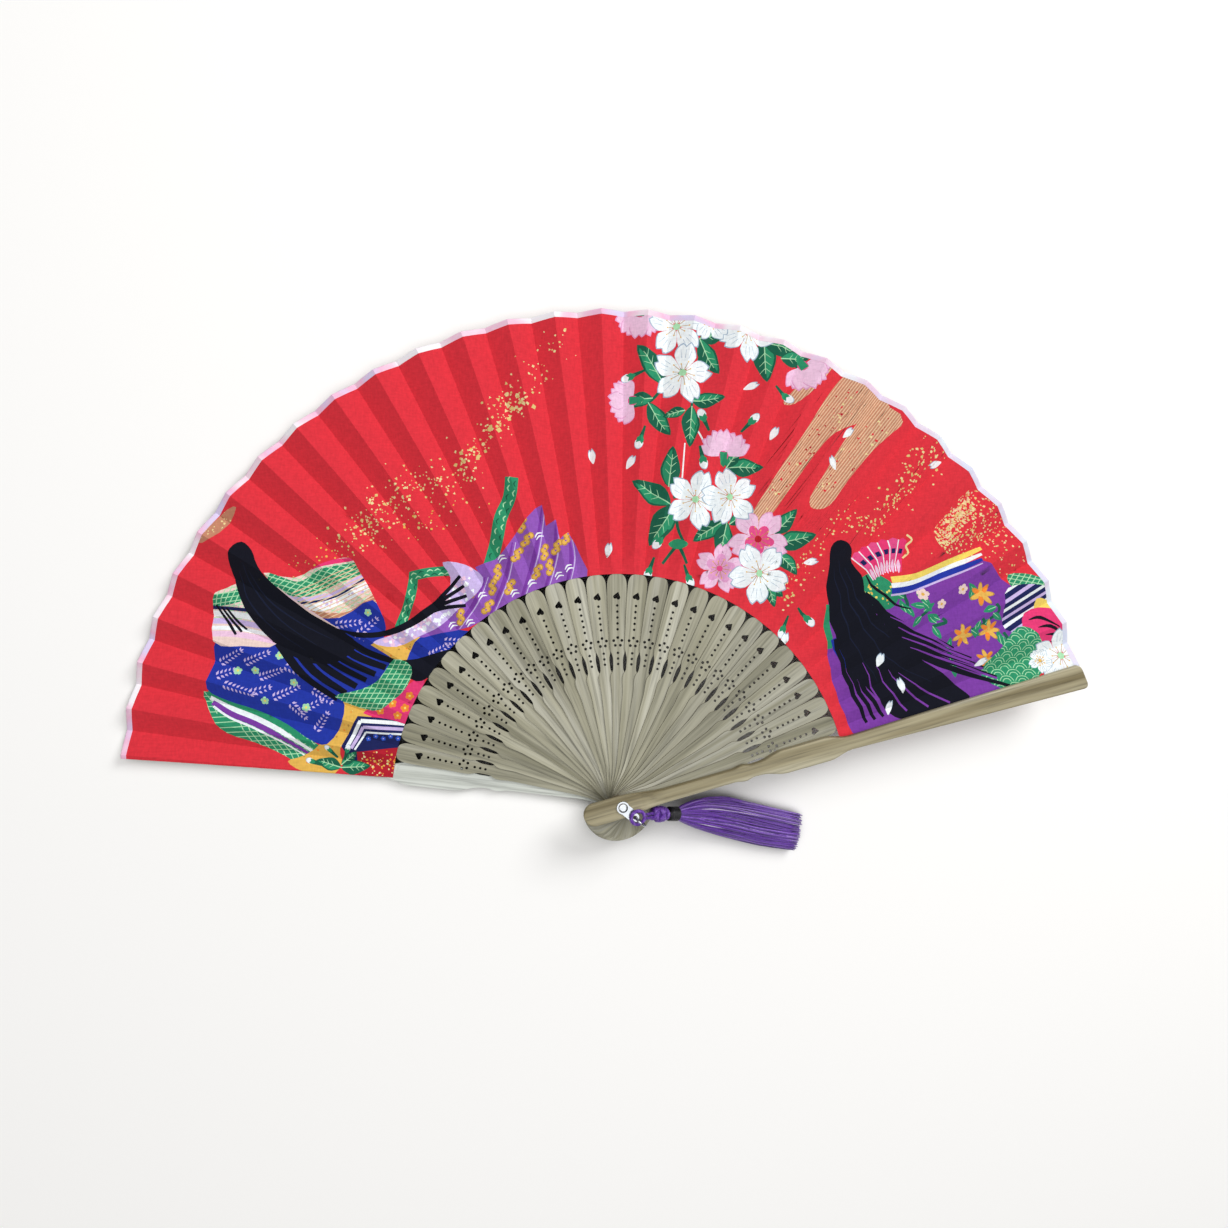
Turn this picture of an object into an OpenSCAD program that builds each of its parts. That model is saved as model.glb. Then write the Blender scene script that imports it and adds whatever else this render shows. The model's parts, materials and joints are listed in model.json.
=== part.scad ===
// Folding hand fan: pierced wooden ribs on a rivet, two guard sticks, a pleated cloth leaf
// and a thread tassel. Millimetres.
// The rivet's axis is Z. The fan lies open on its rear guard, the face at z = 0, spread towards +Y.
// Sticks are counted from the rear guard, stick 0, clockwise to the front guard.
// Each stick lies one layer above the last, so a clockwise turn of each closes the fan.

/* [Fan] */
// Number of pierced ribs between the two guards
rib_count = 28; // [12:1:36]
// Angle between neighbouring sticks when open
stick_step = 5.44; // [4.6:0.01:6]
// Direction of the rear guard when open, from +X
rear_angle = 172.2; // [150:0.1:180]
// Height from one stick's mid plane to the next
layer = 0.6; // [0.58:0.01:0.8]

/* [Ribs] */
// Thickness of a rib where it is pierced
rib_t = 0.5; // [0.4:0.01:0.52]
// Distance from rivet to the rounded top of a rib
rib_top = 92.8; // [92:0.1:92.9]
// Half width of a rib at its widest
rib_half = 4; // [3.7:0.05:4.2]
// Thickness of the slip that carries the leaf
slip_t = 0.25; // [0.2:0.01:0.3]
// Distance from rivet to the end of a slip
slip_end = 196; // [150:1:197]

/* [Guards] */
// Thickness of a guard
guard_t = 3.5; // [3.4:0.05:4]
// Distance from rivet to the tip of a guard
guard_end = 200; // [199.5:0.5:204]
// Width of the rounded edge of a guard
guard_bevel = 0.8; // [0.4:0.05:0.9]
// How much thinner a guard is around the rivet
head_thin = 1.2; // [1.2:0.05:1.6]

/* [Leaf] */
// Distance from rivet to the inner edge of the leaf
leaf_in = 93; // [93:0.1:94]
// Distance from rivet to the outer edge of the leaf
leaf_out = 199; // [197:0.5:199.5]
// Thickness of the leaf
leaf_t = 0.1; // [0.08:0.01:0.12]
// Slope of the pleats that are glued to the ribs
pleat_tilt = 26; // [12:0.5:28]
// Slope of the pleats that are glued to the guards
guard_tilt = 20; // [12:0.5:22]
// Width of the binding along the outer edge
binding_w = 2; // [1:0.5:4]

/* [Rivet] */
// Radius of the rivet
rivet_r = 1.2; // [1:0.05:1.4]
// Gap between the rivet and the bores of the sticks
rivet_gap = 0.05; // [0.03:0.01:0.08]

/* [Tassel] */
// Direction of the swivel tab from the rivet
tab_angle = -40; // [-50:1:-38]
// Radius of the tassel's cord
cord_r = 0.8; // [0.6:0.05:0.85]

/* [Hidden] */
GUARD_WOOD = "#b5a883";
RIB_WOOD = "#aaa791";
LEAF_RED = "#d8303c";
BINDING_PINK = "#ecc6da";
SILVER = "#c9ccd0";
PURPLE = "#5b2f9c";
BLACK = "#17151b";

front_index = rib_count + 1;
half_pleat = stick_step / 4;
head_r = 4.6;
head_end = 16;
bore_r = rivet_r + rivet_gap;
fine = 32;
cap_clear = 0.05;

function rib_name(n) = str("rib_", n < 10 ? "0" : "", n);

// Direction and mid-plane height of stick n; the guards' heights are those of their inner faces.
function stick_angle(n) = rear_angle - n * stick_step;
function plane_z(n) = guard_t + n * layer;

// A smooth step from 0 to 1.
function ease(t) = let (c = min(1, max(0, t))) c * c * (3 - 2 * c);

// The slips and the leaf are flat beside the blades of the ribs and reach their full slope
// twist_length further out.
twist_length = 16;
twist_radii = [95, 98, 101.5, 105, 108.8];
function tilt_at(n, r) =
    let (t = min(1, max(0, (r - rib_top) / twist_length)))
    (n == 0 || n == front_index ? guard_tilt : pleat_tilt) * t * (2 - t);

// Half width at u along a stick: eased from one [u, half width] point to the next.
function eased(points, u, i = 0) =
    i >= len(points) - 1 ? points[i][1]
    : u > points[i + 1][0] ? eased(points, u, i + 1)
    : points[i][1] + (points[i + 1][1] - points[i][1])
        * ease((u - points[i][0]) / (points[i + 1][0] - points[i][0]));

// The round head of every stick, from its end to where the handle takes over.
head_steps = 8;
head_centre = head_r - head_end;
head_u = [for (i = [0.6:head_steps]) head_centre - head_r * cos(90 * i / head_steps)];
function head_half(u) = sqrt(max(0.04, head_r * head_r - pow(u - head_centre, 2)));

// ---- ribs

// Handle, small bud, waist at the slit, swell and pierced blade of a rib.
handle_half = 2.6;
rib_points = [
    [head_centre, head_r], [0, 4.4], [16, handle_half + 0.1], [44, handle_half],
    [51, 3.2], [54.6, 2], [58, 2], [64, 3.4], [86, rib_half]
];
shoulder_u = 88.4;
slip_root_half = 1.9;
slip_tip_half = 1.5;
function shoulder(u) = let (t = (u - shoulder_u) / (rib_top - shoulder_u))
    slip_root_half + (rib_half - slip_root_half) * sqrt(max(0, 1 - t * t));
function rib_half_at(u) = u > shoulder_u ? shoulder(u) : u < head_centre ? head_half(u) : eased(rib_points, u);
rib_u = concat(
    head_u,
    [-6, 0, 4, 8, 12, 16, 30, 44],
    [for (u = [46:1:64]) u],
    [68, 72, 77, 82, 86],
    [for (a = [0:15:90]) shoulder_u + (rib_top - shoulder_u) * sin(a)]
);

module outline(stations, half) {
    polygon(concat(
        [for (u = stations) [u, half(u)]],
        [for (i = [len(stations) - 1:-1:0]) [stations[i], -half(stations[i])]]
    ));
}

// A heart with its point outwards, leaning a little clockwise.
heart_u = 84.1;
lobe_r = 0.8;
heart_tip = 1.75;
module heart() {
    translate([heart_u, 0]) rotate(-17) {
        for (side = [-1, 1])
            translate([-0.55, side * 0.68]) circle(lobe_r, $fn = 16);
        polygon([[heart_tip, 0], [-0.15, 1.38], [-0.9, 0], [-0.15, -1.38]]);
    }
}

// Row of dots, five-petal flower and short row of dots below it.
dot_r = 0.52;
petal_r = 0.58;
upper_dots = [80.2, 77.7, 75.3, 72.9, 70.5];
lower_dots = [60.9, 58.6, 56.4];
flower_u = 65.4;
flower_r = 1.75;
module piercing() {
    heart();
    for (u = concat(upper_dots, lower_dots))
        translate([u, 0]) circle(dot_r, $fn = 16);
    for (i = [0:4])
        translate([flower_u + flower_r * cos(72 * i), flower_r * sin(72 * i)]) circle(petal_r, $fn = 16);
}

// Beyond the blade the slip turns to lie flat against its pleat.
slip_root = rib_top - 0.6;
slip_round = 1;
function slip_half(u) =
    slip_root_half + (slip_tip_half - slip_root_half) * (u - slip_root) / (slip_end - slip_root)
    - (u == slip_end ? slip_round : 0);
function slip_ring(u) =
    let (a = tilt_at(1, u), w = slip_half(u), h = slip_t / 2)
    [for (c = [[w, h], [-w, h], [-w, -h], [w, -h]])
        [u, c[0] * cos(a) - c[1] * sin(a), c[0] * sin(a) + c[1] * cos(a)]];
module slip() {
    stations = concat([slip_root], twist_radii, [slip_end - slip_round, slip_end]);
    loft([for (u = stations) slip_ring(u)], turn = 2);
}

module rib(n) {
    color(RIB_WOOD)
        rotate(stick_angle(n))
            translate([0, 0, plane_z(n)])
                difference() {
                    union() {
                        translate([0, 0, -rib_t / 2])
                            linear_extrude(rib_t)
                                difference() {
                                    outline(rib_u, function (u) rib_half_at(u));
                                    piercing();
                                }
                        slip();
                    }
                    translate([0, 0, -rib_t]) cylinder(r = bore_r, h = 2 * rib_t, $fn = fine);
                }
}

// ---- guards

guard_points = [
    [head_centre, head_r], [0, 4.5], [18, 2.7], [46, 2.6], [50.6, 3.3], [54.6, 2.5],
    [57, 2.6], [68, 4.8], [86, 4.85], [96, 2.8]
];
waist_u = 96;
tip_half = 5.3;
tip_round = 2;
function blade_half(u) = 2.8 + (tip_half - 2.8) * (u - waist_u) / (guard_end - waist_u);
function tip_drop(u) = let (t = max(0, u - guard_end + tip_round) / tip_round)
    tip_round * 0.9 * (1 - sqrt(max(0, 1 - t * t)));
function guard_half(u) =
    u < head_centre ? head_half(u) : u < waist_u ? eased(guard_points, u) : blade_half(u) - tip_drop(u);
guard_u = concat(
    head_u,
    [-6, -2.5, 2.5, 6, 8, 11, 14, 18, 32, 46],
    [for (u = [47:1:68]) u],
    [74, 80, 86, 88, 90, 92, 94, 96, 105, 120, 140, 160, 180, 190, 195],
    [for (a = [0:18:90]) guard_end - tip_round + tip_round * sin(a)]
);

// The tip is cut at a slant, longer on its clockwise side.
tip_slant = 0.16;
slant_from = 184;
function slant(u) = tip_slant * ease((u - slant_from) / (guard_end - slant_from));
// The inner face slopes under the leaf so that the folded pleats have room.
slope_from = 90;
function inner_slope(u) = tan(guard_tilt) * ease((u - slope_from) / 5);
function thickness(u) = guard_t - head_thin * (1 - ease((u - 7) / 11));

// Cross-section of a guard at u: [u, y, height above the inner face], outer face upwards.
// side is 1 where the counter-clockwise half of the inner face slopes away, -1 for the other half.
function guard_ring(u, side) =
    let (
        w = guard_half(u),
        b = min(guard_bevel, 0.45 * w),
        t = thickness(u),
        rim = inner_slope(u) * w,
        ys = [-w, 0, w, w, w - 0.3 * b, w - b, -w + b, -w + 0.3 * b, -w],
        zs = [side < 0 ? rim : 0, 0, side > 0 ? rim : 0, t - b, t - 0.3 * b, t, t, t - 0.3 * b, t - b]
    )
    [for (i = [0:8]) [u - slant(u) * ys[i] - tip_slant * tip_half * (slant(u) / tip_slant), ys[i], zs[i]]];

// The side faces between rings of `count` points each. From corner `turn` on, the quads are split
// along their other diagonal, so that two facing sheets stay parallel.
function sides(count, last, turn) =
    [for (k = [0:last - 1], i = [0:count - 1])
        let (a = k * count, b = a + count, j = (i + 1) % count)
        each i < turn
            ? [[a + i, b + i, a + j], [a + j, b + i, b + j]]
            : [[a + i, b + j, a + j], [a + i, b + i, b + j]]];

// A closed skin over rings of equal point count, each end closed by a fan from corner `hub`.
// The faces from corner `turn` on are split along their other diagonal.
module loft(rings, hub = 0, turn = 1000) {
    count = len(rings[0]);
    last = len(rings) - 1;
    function corner(i) = (hub + i) % count;
    polyhedron(
        points = [for (ring = rings) each ring],
        faces = concat(
            [for (i = [1:count - 2]) [corner(0), corner(i), corner(i + 1)]],
            [for (i = [1:count - 2]) [for (j = [0, i + 1, i]) last * count + corner(j)]],
            sides(count, last, turn)
        )
    );
}

module guard_blank(side) {
    difference() {
        loft([for (u = guard_u) guard_ring(u, side)], hub = 5);
        translate([0, 0, -1]) cylinder(r = bore_r, h = guard_t + 2, $fn = fine);
    }
}

module front_guard() {
    color(GUARD_WOOD)
        rotate(stick_angle(front_index))
            translate([0, 0, plane_z(front_index)]) guard_blank(1);
}

module rear_guard() {
    color(GUARD_WOOD)
        rotate(stick_angle(0))
            translate([0, 0, guard_t]) rotate([180, 0, 0]) guard_blank(1);
}

// ---- leaf

leaf_gap = 0.12;
binding_lift = 0.14;
flap_angle = 0.4;
flap_root = 0.05;
// Height of the leaf's middle above a stick's plane: on the ribs and rear guard, under the front guard.
function leaf_lift(n) =
    n == 0 ? leaf_gap + leaf_t / 2
    : n == front_index ? -leaf_gap - leaf_t / 2 - binding_lift
    : slip_t / 2 + leaf_gap + leaf_t / 2;

// Crease k at radius r: [angle, height]. Creases 2n and 2n + 1 are the two edges of the pleat on
// stick n; crease -1 is the free edge of the flap beyond the rear guard.
function crease(k, r) =
    let (n = max(0, floor(k / 2)), side = k % 2 == 0 ? 1 : -1, a = tilt_at(n, r))
    k < 0
        ? let (root = crease(0, r), reach = flap_root + flap_angle * (r - leaf_in) / (leaf_out - leaf_in))
            [root[0] + reach, root[1] - tan(a) * r * sin(reach)]
        : [
            stick_angle(n) + side * half_pleat,
            plane_z(n) + leaf_lift(n) / cos(a) + side * tan(a) * r * sin(half_pleat)
        ];
function crease_point(k, r, lift) =
    let (c = crease(k, r)) [r * cos(c[0]), r * sin(c[0]), c[1] + lift];

// A pleated band through the given radii, t thick, standing lift above the leaf's middle.
module pleats(radii, t, lift, last_crease) {
    m = len(radii);
    count = 2 * m;
    last = last_crease + 1;
    polyhedron(
        points = [for (k = [-1:last_crease]) each concat(
            [for (r = radii) crease_point(k, r, lift - t / 2)],
            [for (i = [m - 1:-1:0]) crease_point(k, radii[i], lift + t / 2)]
        )],
        faces = concat(
            [for (i = [0:m - 2]) each [[i, i + 1, count - 2 - i], [i, count - 2 - i, count - 1 - i]]],
            [for (i = [0:m - 2]) let (e = last * count)
                each [[e + i, e + count - 2 - i, e + i + 1], [e + i, e + count - 1 - i, e + count - 2 - i]]],
            sides(count, last, m)
        )
    );
}

module leaf() {
    color(LEAF_RED) pleats(concat([leaf_in], twist_radii, [leaf_out]), leaf_t, 0, 2 * front_index);
}

binding_t = 0.06;
binding_gap = 0.02;
module edge_binding() {
    color(BINDING_PINK)
        pleats(
            [leaf_out - binding_w, leaf_out], binding_t,
            leaf_t / 2 + binding_gap + binding_t / 2, 2 * front_index
        );
}

// ---- rivet

head_top = plane_z(front_index) + guard_t - head_thin;
tab_t = 0.6;
tab_z = head_top + cap_clear;
front_cap_z = tab_z + tab_t + cap_clear;
cap_h = 0.75;
cap_r = 1.9;
rear_cap_h = head_thin - cap_clear;
rear_cap_r = 2.8;
cap_chamfer = 0.3;

module rivet_pin() {
    color(SILVER)
        translate([0, 0, rear_cap_h]) cylinder(r = rivet_r, h = front_cap_z - rear_cap_h, $fn = fine);
}

module rivet_rear_cap() {
    color(SILVER)
        rotate_extrude($fn = fine)
            polygon([
                [0, 0], [rear_cap_r - cap_chamfer, 0], [rear_cap_r, cap_chamfer],
                [rear_cap_r, rear_cap_h], [0, rear_cap_h]
            ]);
}

module rivet_front_cap() {
    color(SILVER)
        translate([0, 0, front_cap_z])
            rotate_extrude($fn = fine)
                polygon([
                    [0, 0], [cap_r, 0], [cap_r, cap_h - 2 * cap_chamfer], [cap_r - cap_chamfer, cap_h - 0.12],
                    [cap_r - 2.5 * cap_chamfer, cap_h], [0, cap_h]
                ]);
}

// ---- swivel tab and jump ring

eye_u = 6.1;
eye_r = 0.85;
tab_half = 2.2;
tab_root = 2.5;
tab_nose = 1.75;
module swivel_tab() {
    color(SILVER)
        rotate(tab_angle)
            translate([0, 0, tab_z])
                difference() {
                    union() {
                        cylinder(r = tab_root, h = tab_t, $fn = fine);
                        translate([0, -tab_half, 0]) cube([eye_u - 0.6, 2 * tab_half, tab_t]);
                        translate([eye_u, 0, 0]) cylinder(r = tab_nose, h = tab_t, $fn = fine);
                    }
                    translate([0, 0, -1]) cylinder(r = bore_r, h = tab_t + 2, $fn = fine);
                    translate([eye_u, 0, -1]) cylinder(r = eye_r, h = tab_t + 2, $fn = fine);
                }
}

ring_r = 2.7;
wire_r = 0.42;
module jump_ring() {
    color(SILVER)
        rotate(tab_angle)
            translate([eye_u + ring_r, 0, tab_z + tab_t / 2])
                rotate([90, 0, 0])
                    rotate_extrude($fn = fine)
                        translate([ring_r, 0]) circle(wire_r, $fn = 16);
}

// ---- tassel

// Stations along the tassel's middle line: [x, y, z, half width, half height].
knot_at = [15.2, -4.3, 17.6];
neck_at = [19.4, -4.9, 15.4];
neck_end = [23.7, -5.7, 13];
skirt_stations = [
    [23.5, -5.7, 13, 2.6, 2.5], [27, -6.2, 11.1, 4.4, 3.4], [32, -7, 8.9, 6.3, 4.1],
    [38.5, -8.2, 6.5, 7.8, 4.5], [47, -10.2, 4.6, 8.8, 4.4], [60, -13.6, 4, 9, 3.9],
    [77, -17.5, 3.6, 8, 3.5]
];
loop_r = 2.8;
loop_at = [5.75, -3.85, tab_z + 1.35];
loop_tilt = 12;
strand_from = [8, -3.8, tab_z + 1];

module rod(from, to, r1, r2) {
    d = to - from;
    length = norm(d);
    translate(from)
        rotate([0, acos(d[2] / length), atan2(d[1], d[0])])
            cylinder(r1 = r1, r2 = r2, h = length, $fn = fine);
}

// The cord's hitch round the tab's nose and through the jump ring, and its two strands.
module tassel_cord() {
    color(PURPLE) {
        translate(loop_at)
            rotate([0, 0, tab_angle])
                rotate([0, loop_tilt, 0])
                    rotate_extrude($fn = fine)
                        translate([loop_r, 0]) circle(cord_r, $fn = 16);
        for (side = [-1, 1])
            rod(strand_from + [0, side * cord_r, 0], knot_at + [-2.2, side * cord_r, 1.6], cord_r, cord_r);
    }
}

knot_half = [5, 3.5];
module tassel_knot() {
    d = neck_at - knot_at;
    color(PURPLE)
        difference() {
            translate(knot_at)
                rotate([0, acos(d[2] / norm(d)), atan2(d[1], d[0])])
                    rotate_extrude($fn = fine)
                        polygon([for (a = [-90:12:90]) [knot_half[1] * cos(a) + 0.001, knot_half[0] * sin(a)]]);
            tassel_cord();
        }
}

neck_r = 3;
module neck_band() {
    color(BLACK) rod(neck_at, neck_end, neck_r, neck_r);
}

skirt_sides = 16;
skirt_lowest = 0.05;
// The free end of the skirt is cut at a slant.
skirt_slant = 0.2;
function skirt_ring(s, slant) =
    [for (i = [0:skirt_sides - 1])
        let (a = 360 * i / skirt_sides, across = s[3] * cos(a))
        [s[0] + slant * across, s[1] + across, max(skirt_lowest, s[2] + s[4] * sin(a))]];
module tassel_skirt() {
    last = len(skirt_stations) - 1;
    color(PURPLE)
        loft([for (i = [0:last]) skirt_ring(skirt_stations[i], i == last ? skirt_slant : 0)]);
}

rear_guard();
for (n = [1:rib_count])
    rib(n);
front_guard();
leaf();
edge_binding();
rivet_pin();
rivet_rear_cap();
rivet_front_cap();
swivel_tab();
jump_ring();
tassel_cord();
tassel_knot();
neck_band();
tassel_skirt();
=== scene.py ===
"""Looks of a folding hand fan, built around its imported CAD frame.

The fan lies open on its rear guard, the rivet's axis is Z and the leaf spreads towards +Y.
Places on the fan are in millimetres in this file and become metres where meshes are made.
"""
import json
import math
import random

import bpy
from mathutils import Matrix, Vector
from mathutils.geometry import delaunay_2d_cdt


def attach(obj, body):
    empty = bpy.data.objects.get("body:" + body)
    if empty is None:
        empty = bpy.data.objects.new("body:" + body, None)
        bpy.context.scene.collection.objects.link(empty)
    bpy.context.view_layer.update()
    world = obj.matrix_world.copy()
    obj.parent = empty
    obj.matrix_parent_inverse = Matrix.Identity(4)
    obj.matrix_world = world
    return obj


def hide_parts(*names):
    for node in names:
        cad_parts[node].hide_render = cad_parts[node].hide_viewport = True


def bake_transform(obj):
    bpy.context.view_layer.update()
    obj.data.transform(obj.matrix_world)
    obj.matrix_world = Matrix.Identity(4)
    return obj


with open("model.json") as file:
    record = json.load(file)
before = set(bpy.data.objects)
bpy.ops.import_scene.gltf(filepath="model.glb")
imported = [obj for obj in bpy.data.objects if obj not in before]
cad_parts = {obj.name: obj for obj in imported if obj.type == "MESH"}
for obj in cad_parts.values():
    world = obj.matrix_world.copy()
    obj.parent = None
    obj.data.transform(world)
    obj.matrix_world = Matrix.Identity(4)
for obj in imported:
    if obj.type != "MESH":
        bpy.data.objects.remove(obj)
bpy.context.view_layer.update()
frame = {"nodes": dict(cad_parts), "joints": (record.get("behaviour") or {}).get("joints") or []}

MM = 0.001

# ---- the fan's driving dimensions, in millimetres and degrees, as its CAD source gives them

FOLD_JOINTS = [j for j in frame["joints"] if j["name"].endswith("_fold")]
STEP = FOLD_JOINTS[0]["range_deg"][1]
STICKS = ["rear_guard"] + sorted(n for n in frame["nodes"] if n.startswith("rib_")) + ["front_guard"]
LAST = len(STICKS) - 1
REAR_ANGLE = 172.2
GUARD_T = 3.5
LAYER = 0.6  # from one rib's middle plane to the next
HALF_PLEAT = STEP / 4  # from a stick's middle line to the folds beside it
RIB_TOP = 92.8
TWIST_LENGTH = 16  # over which a slip turns from flat to its pleat's slope
PLEAT_TILT = 26
GUARD_TILT = 20
SLIP_HALF = (1.9, 1.5)  # half the slips' width, at the rib's top and at the slip's end
SLIP_END = 196
SLIP_T = 0.25
LEAF_IN = 93.0
LEAF_OUT = 199.0
CLOTH_T = 0.1
FLAP_ANGLE = 0.4  # the cloth left of the rear guard, at the rim


def stick_angle(n):
    return REAR_ANGLE - n * STEP


def plane_z(n):
    return GUARD_T + n * LAYER


def polar(r, degrees):
    a = math.radians(degrees)
    return r * math.cos(a), r * math.sin(a)


def clamp(x, low=0.0, high=1.0):
    return min(high, max(low, x))


def ease(t):
    t = clamp(t)
    return t * t * (3 - 2 * t)


def mix(a, b, t):
    return a + (b - a) * t


# ---- colours and materials


def rgb(text):
    """A linear colour from its usual hexadecimal form."""
    values = [int(text[i : i + 2], 16) / 255 for i in (1, 3, 5)]
    return [v / 12.92 if v <= 0.04045 else ((v + 0.055) / 1.055) ** 2.4 for v in values]


def grey(level):
    return [level] * 3


def add(tree, kind, settings=None, **inputs):
    """A new shader node; inputs take a value or another node's output socket."""
    node = tree.nodes.new(kind)
    for name, value in (settings or {}).items():
        setattr(node, name, value)
    for name, value in inputs.items():
        socket = node.inputs[int(name[1:])] if name[1:].isdigit() else node.inputs[name.replace("_", " ")]
        if isinstance(value, bpy.types.NodeSocket):
            tree.links.new(value, socket)
        else:
            socket.default_value = value
    return node


def new_material(name, **shader):
    """A material with a Principled shader, whose sockets are set by name, and its object coordinates."""
    m = bpy.data.materials.new(name)
    m.use_nodes = True
    bsdf = m.node_tree.nodes["Principled BSDF"]
    for key, value in shader.items():
        bsdf.inputs[key.replace("_", " ")].default_value = value
    place = add(m.node_tree, "ShaderNodeTexCoord").outputs["Object"]
    return m, m.node_tree, bsdf, place


def noise(tree, place, **inputs):
    return add(tree, "ShaderNodeTexNoise", Vector=place, **inputs).outputs["Fac"]


def stretched(tree, place, scale, offset=(0, 0, 0)):
    return add(tree, "ShaderNodeMapping", Vector=place, Location=offset, Scale=scale).outputs[0]


def size_of(tree, value):
    return add(tree, "ShaderNodeMath", {"operation": "ABSOLUTE"}, _0=value).outputs[0]


def axis_of(tree, vector, axis):
    return add(tree, "ShaderNodeSeparateXYZ", Vector=vector).outputs[axis]


def ramp(tree, factor, stops):
    node = add(tree, "ShaderNodeValToRGB", _0=factor)
    points = node.color_ramp.elements
    while len(points) < len(stops):
        points.new(0.5)
    for point, (place, colour) in zip(points, stops):
        point.position = place
        point.color = (*colour, 1)
    return node.outputs["Color"]


def mixed(tree, factor, a, b, blend="MIX"):
    node = add(tree, "ShaderNodeMix", {"data_type": "RGBA", "blend_type": blend})
    for index, value in ((0, factor), (6, a), (7, b)):
        if isinstance(value, bpy.types.NodeSocket):
            tree.links.new(value, node.inputs[index])
        else:
            node.inputs[index].default_value = value if index == 0 else (*value, 1)
    return node.outputs[2]


def coloured(tree, bsdf, colour):
    tree.links.new(colour, bsdf.inputs["Base Color"])


def glossed(tree, bsdf, factor, low, high):
    """Roughness between two values, as a texture says."""
    gloss = add(tree, "ShaderNodeMapRange", Value=factor, To_Min=low, To_Max=high)
    tree.links.new(gloss.outputs[0], bsdf.inputs["Roughness"])


def bumped(tree, bsdf, height, strength, distance):
    bump = add(tree, "ShaderNodeBump", Strength=strength, Distance=distance, Height=height)
    tree.links.new(bump.outputs["Normal"], bsdf.inputs["Normal"])


# each wood's dark, middle and pale tone
WOOD_TONES = {
    "rib": ["#85826c", "#a4a18c", "#b8b6a6"],
    "guard": ["#786d4e", "#a0977a", "#bab49c"],
    "guard_inside": ["#aeb2a8", "#c4c8c0", "#d2d6cf"],
}
# within this reach the cut walls are the holes' walls, which get a painted near-black shade
HOLES_WITHIN = 0.0019  # metres from a rib's middle line, where its hearts and round holes are


def burnt_edges_and_hole_shade(tree, along, colour):
    """Dark walls: burnt brown on the outline where the wood was cut by heat, and a painted near-black shade
    on the holes' walls.
    """
    normal = add(tree, "ShaderNodeNewGeometry").outputs["True Normal"]
    flat = size_of(tree, axis_of(tree, normal, "Z"))
    edge = ramp(tree, flat, [(0.35, grey(1.0)), (0.6, grey(0.0))])
    off_centre = size_of(tree, axis_of(tree, along, "Y"))
    # the holes' walls are painted almost black: painted shade that makes the holes look dark
    inner = add(tree, "ShaderNodeMath", {"operation": "LESS_THAN"}, _0=off_centre, _1=HOLES_WITHIN).outputs[0]
    return mixed(tree, edge, colour, mixed(tree, inner, rgb("#5c4a30"), rgb("#100d09")))


def wood(name, tones, turn, seed, burnt_and_hole_shade, shade):
    """Straight-grained wood; the grain runs along a stick that lies at `turn` degrees."""
    m, tree, bsdf, place = new_material(name, Roughness=0.5, Specular_IOR_Level=0.35)
    angle = (0, 0, math.radians(turn))
    along = add(tree, "ShaderNodeMapping", {"vector_type": "TEXTURE"}, Vector=place,
                Rotation=angle).outputs[0]
    offset = (0.37 * seed, 0.19 * seed, 0.11 * seed)
    fine = noise(tree, stretched(tree, along, (28, 900, 900), offset), Scale=1.0, Detail=4.0, Roughness=0.6)
    broad = noise(tree, stretched(tree, along, (7, 190, 190), offset), Scale=1.0, Detail=2.0, Distortion=0.4)
    dark, mid, pale = [[v * shade for v in rgb(t)] for t in tones]
    base = ramp(tree, broad, [(0.3, dark), (0.5, mid), (0.72, pale)])
    streaks = ramp(tree, fine, [(0.32, grey(0.55)), (0.5, grey(1.0)), (0.7, grey(1.2))])
    colour = mixed(tree, 0.85, base, mixed(tree, 1.0, base, streaks, "MULTIPLY"))
    # ribs get burnt brown outlines and a painted near-black shade in their holes
    coloured(tree, bsdf, burnt_edges_and_hole_shade(tree, along, colour) if burnt_and_hole_shade else colour)
    glossed(tree, bsdf, fine, 0.42, 0.66)
    bumped(tree, bsdf, fine, 0.35, 0.00012)
    return m


def cloth(name, faded):
    """The leaf's cloth: its print is in the mesh's colours, its weave is here."""
    m, tree, bsdf, place = new_material(name, Roughness=0.85, Specular_IOR_Level=0.12, Sheen_Weight=0.04)
    ink = add(tree, "ShaderNodeVertexColor", {"layer_name": "ink"}).outputs["Color"]
    weft = noise(tree, stretched(tree, place, (350, 1400, 700)), Scale=1.0, Detail=3.0)
    warp = noise(tree, stretched(tree, place, (1400, 350, 700)), Scale=1.0, Detail=3.0)
    weave = mixed(tree, 0.5, warp, weft)
    shade = ramp(tree, weave, [(0.35, grey(0.86)), (0.65, grey(1.06))])
    colour = mixed(tree, 1.0, ink, shade, "MULTIPLY")
    if faded:
        colour = mixed(tree, 0.5, colour, rgb("#e8b4ae"))
    coloured(tree, bsdf, colour)
    bumped(tree, bsdf, weave, 0.3, 0.00012)
    return m


def binding_cloth():
    """Pale tape: pink, white and lilac run into each other along it, and its right end is bluer."""
    m, tree, bsdf, place = new_material(
        "binding_tape", Roughness=0.75, Specular_IOR_Level=0.25, Sheen_Weight=0.2
    )
    colour = ramp(
        tree, noise(tree, place, Scale=55.0, Detail=2.0),
        [(0.36, rgb("#f2eff4")), (0.46, rgb("#f0cfe0")), (0.55, rgb("#eeb9d4")), (0.66, rgb("#d9cdec"))],
    )
    along = axis_of(tree, place, "X")
    right = add(tree, "ShaderNodeMapRange", Value=along, From_Min=0.06, From_Max=0.14, To_Max=0.6).outputs[0]
    colour = mixed(tree, right, colour, rgb("#d5e6f4"))
    ribs = add(tree, "ShaderNodeTexNoise", Vector=place, Scale=1800.0, Detail=1.0)
    coloured(tree, bsdf, mixed(tree, 0.25, colour, ribs.outputs["Color"], "SOFT_LIGHT"))
    bumped(tree, bsdf, ribs.outputs["Fac"], 0.4, 0.0001)
    return m


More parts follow.
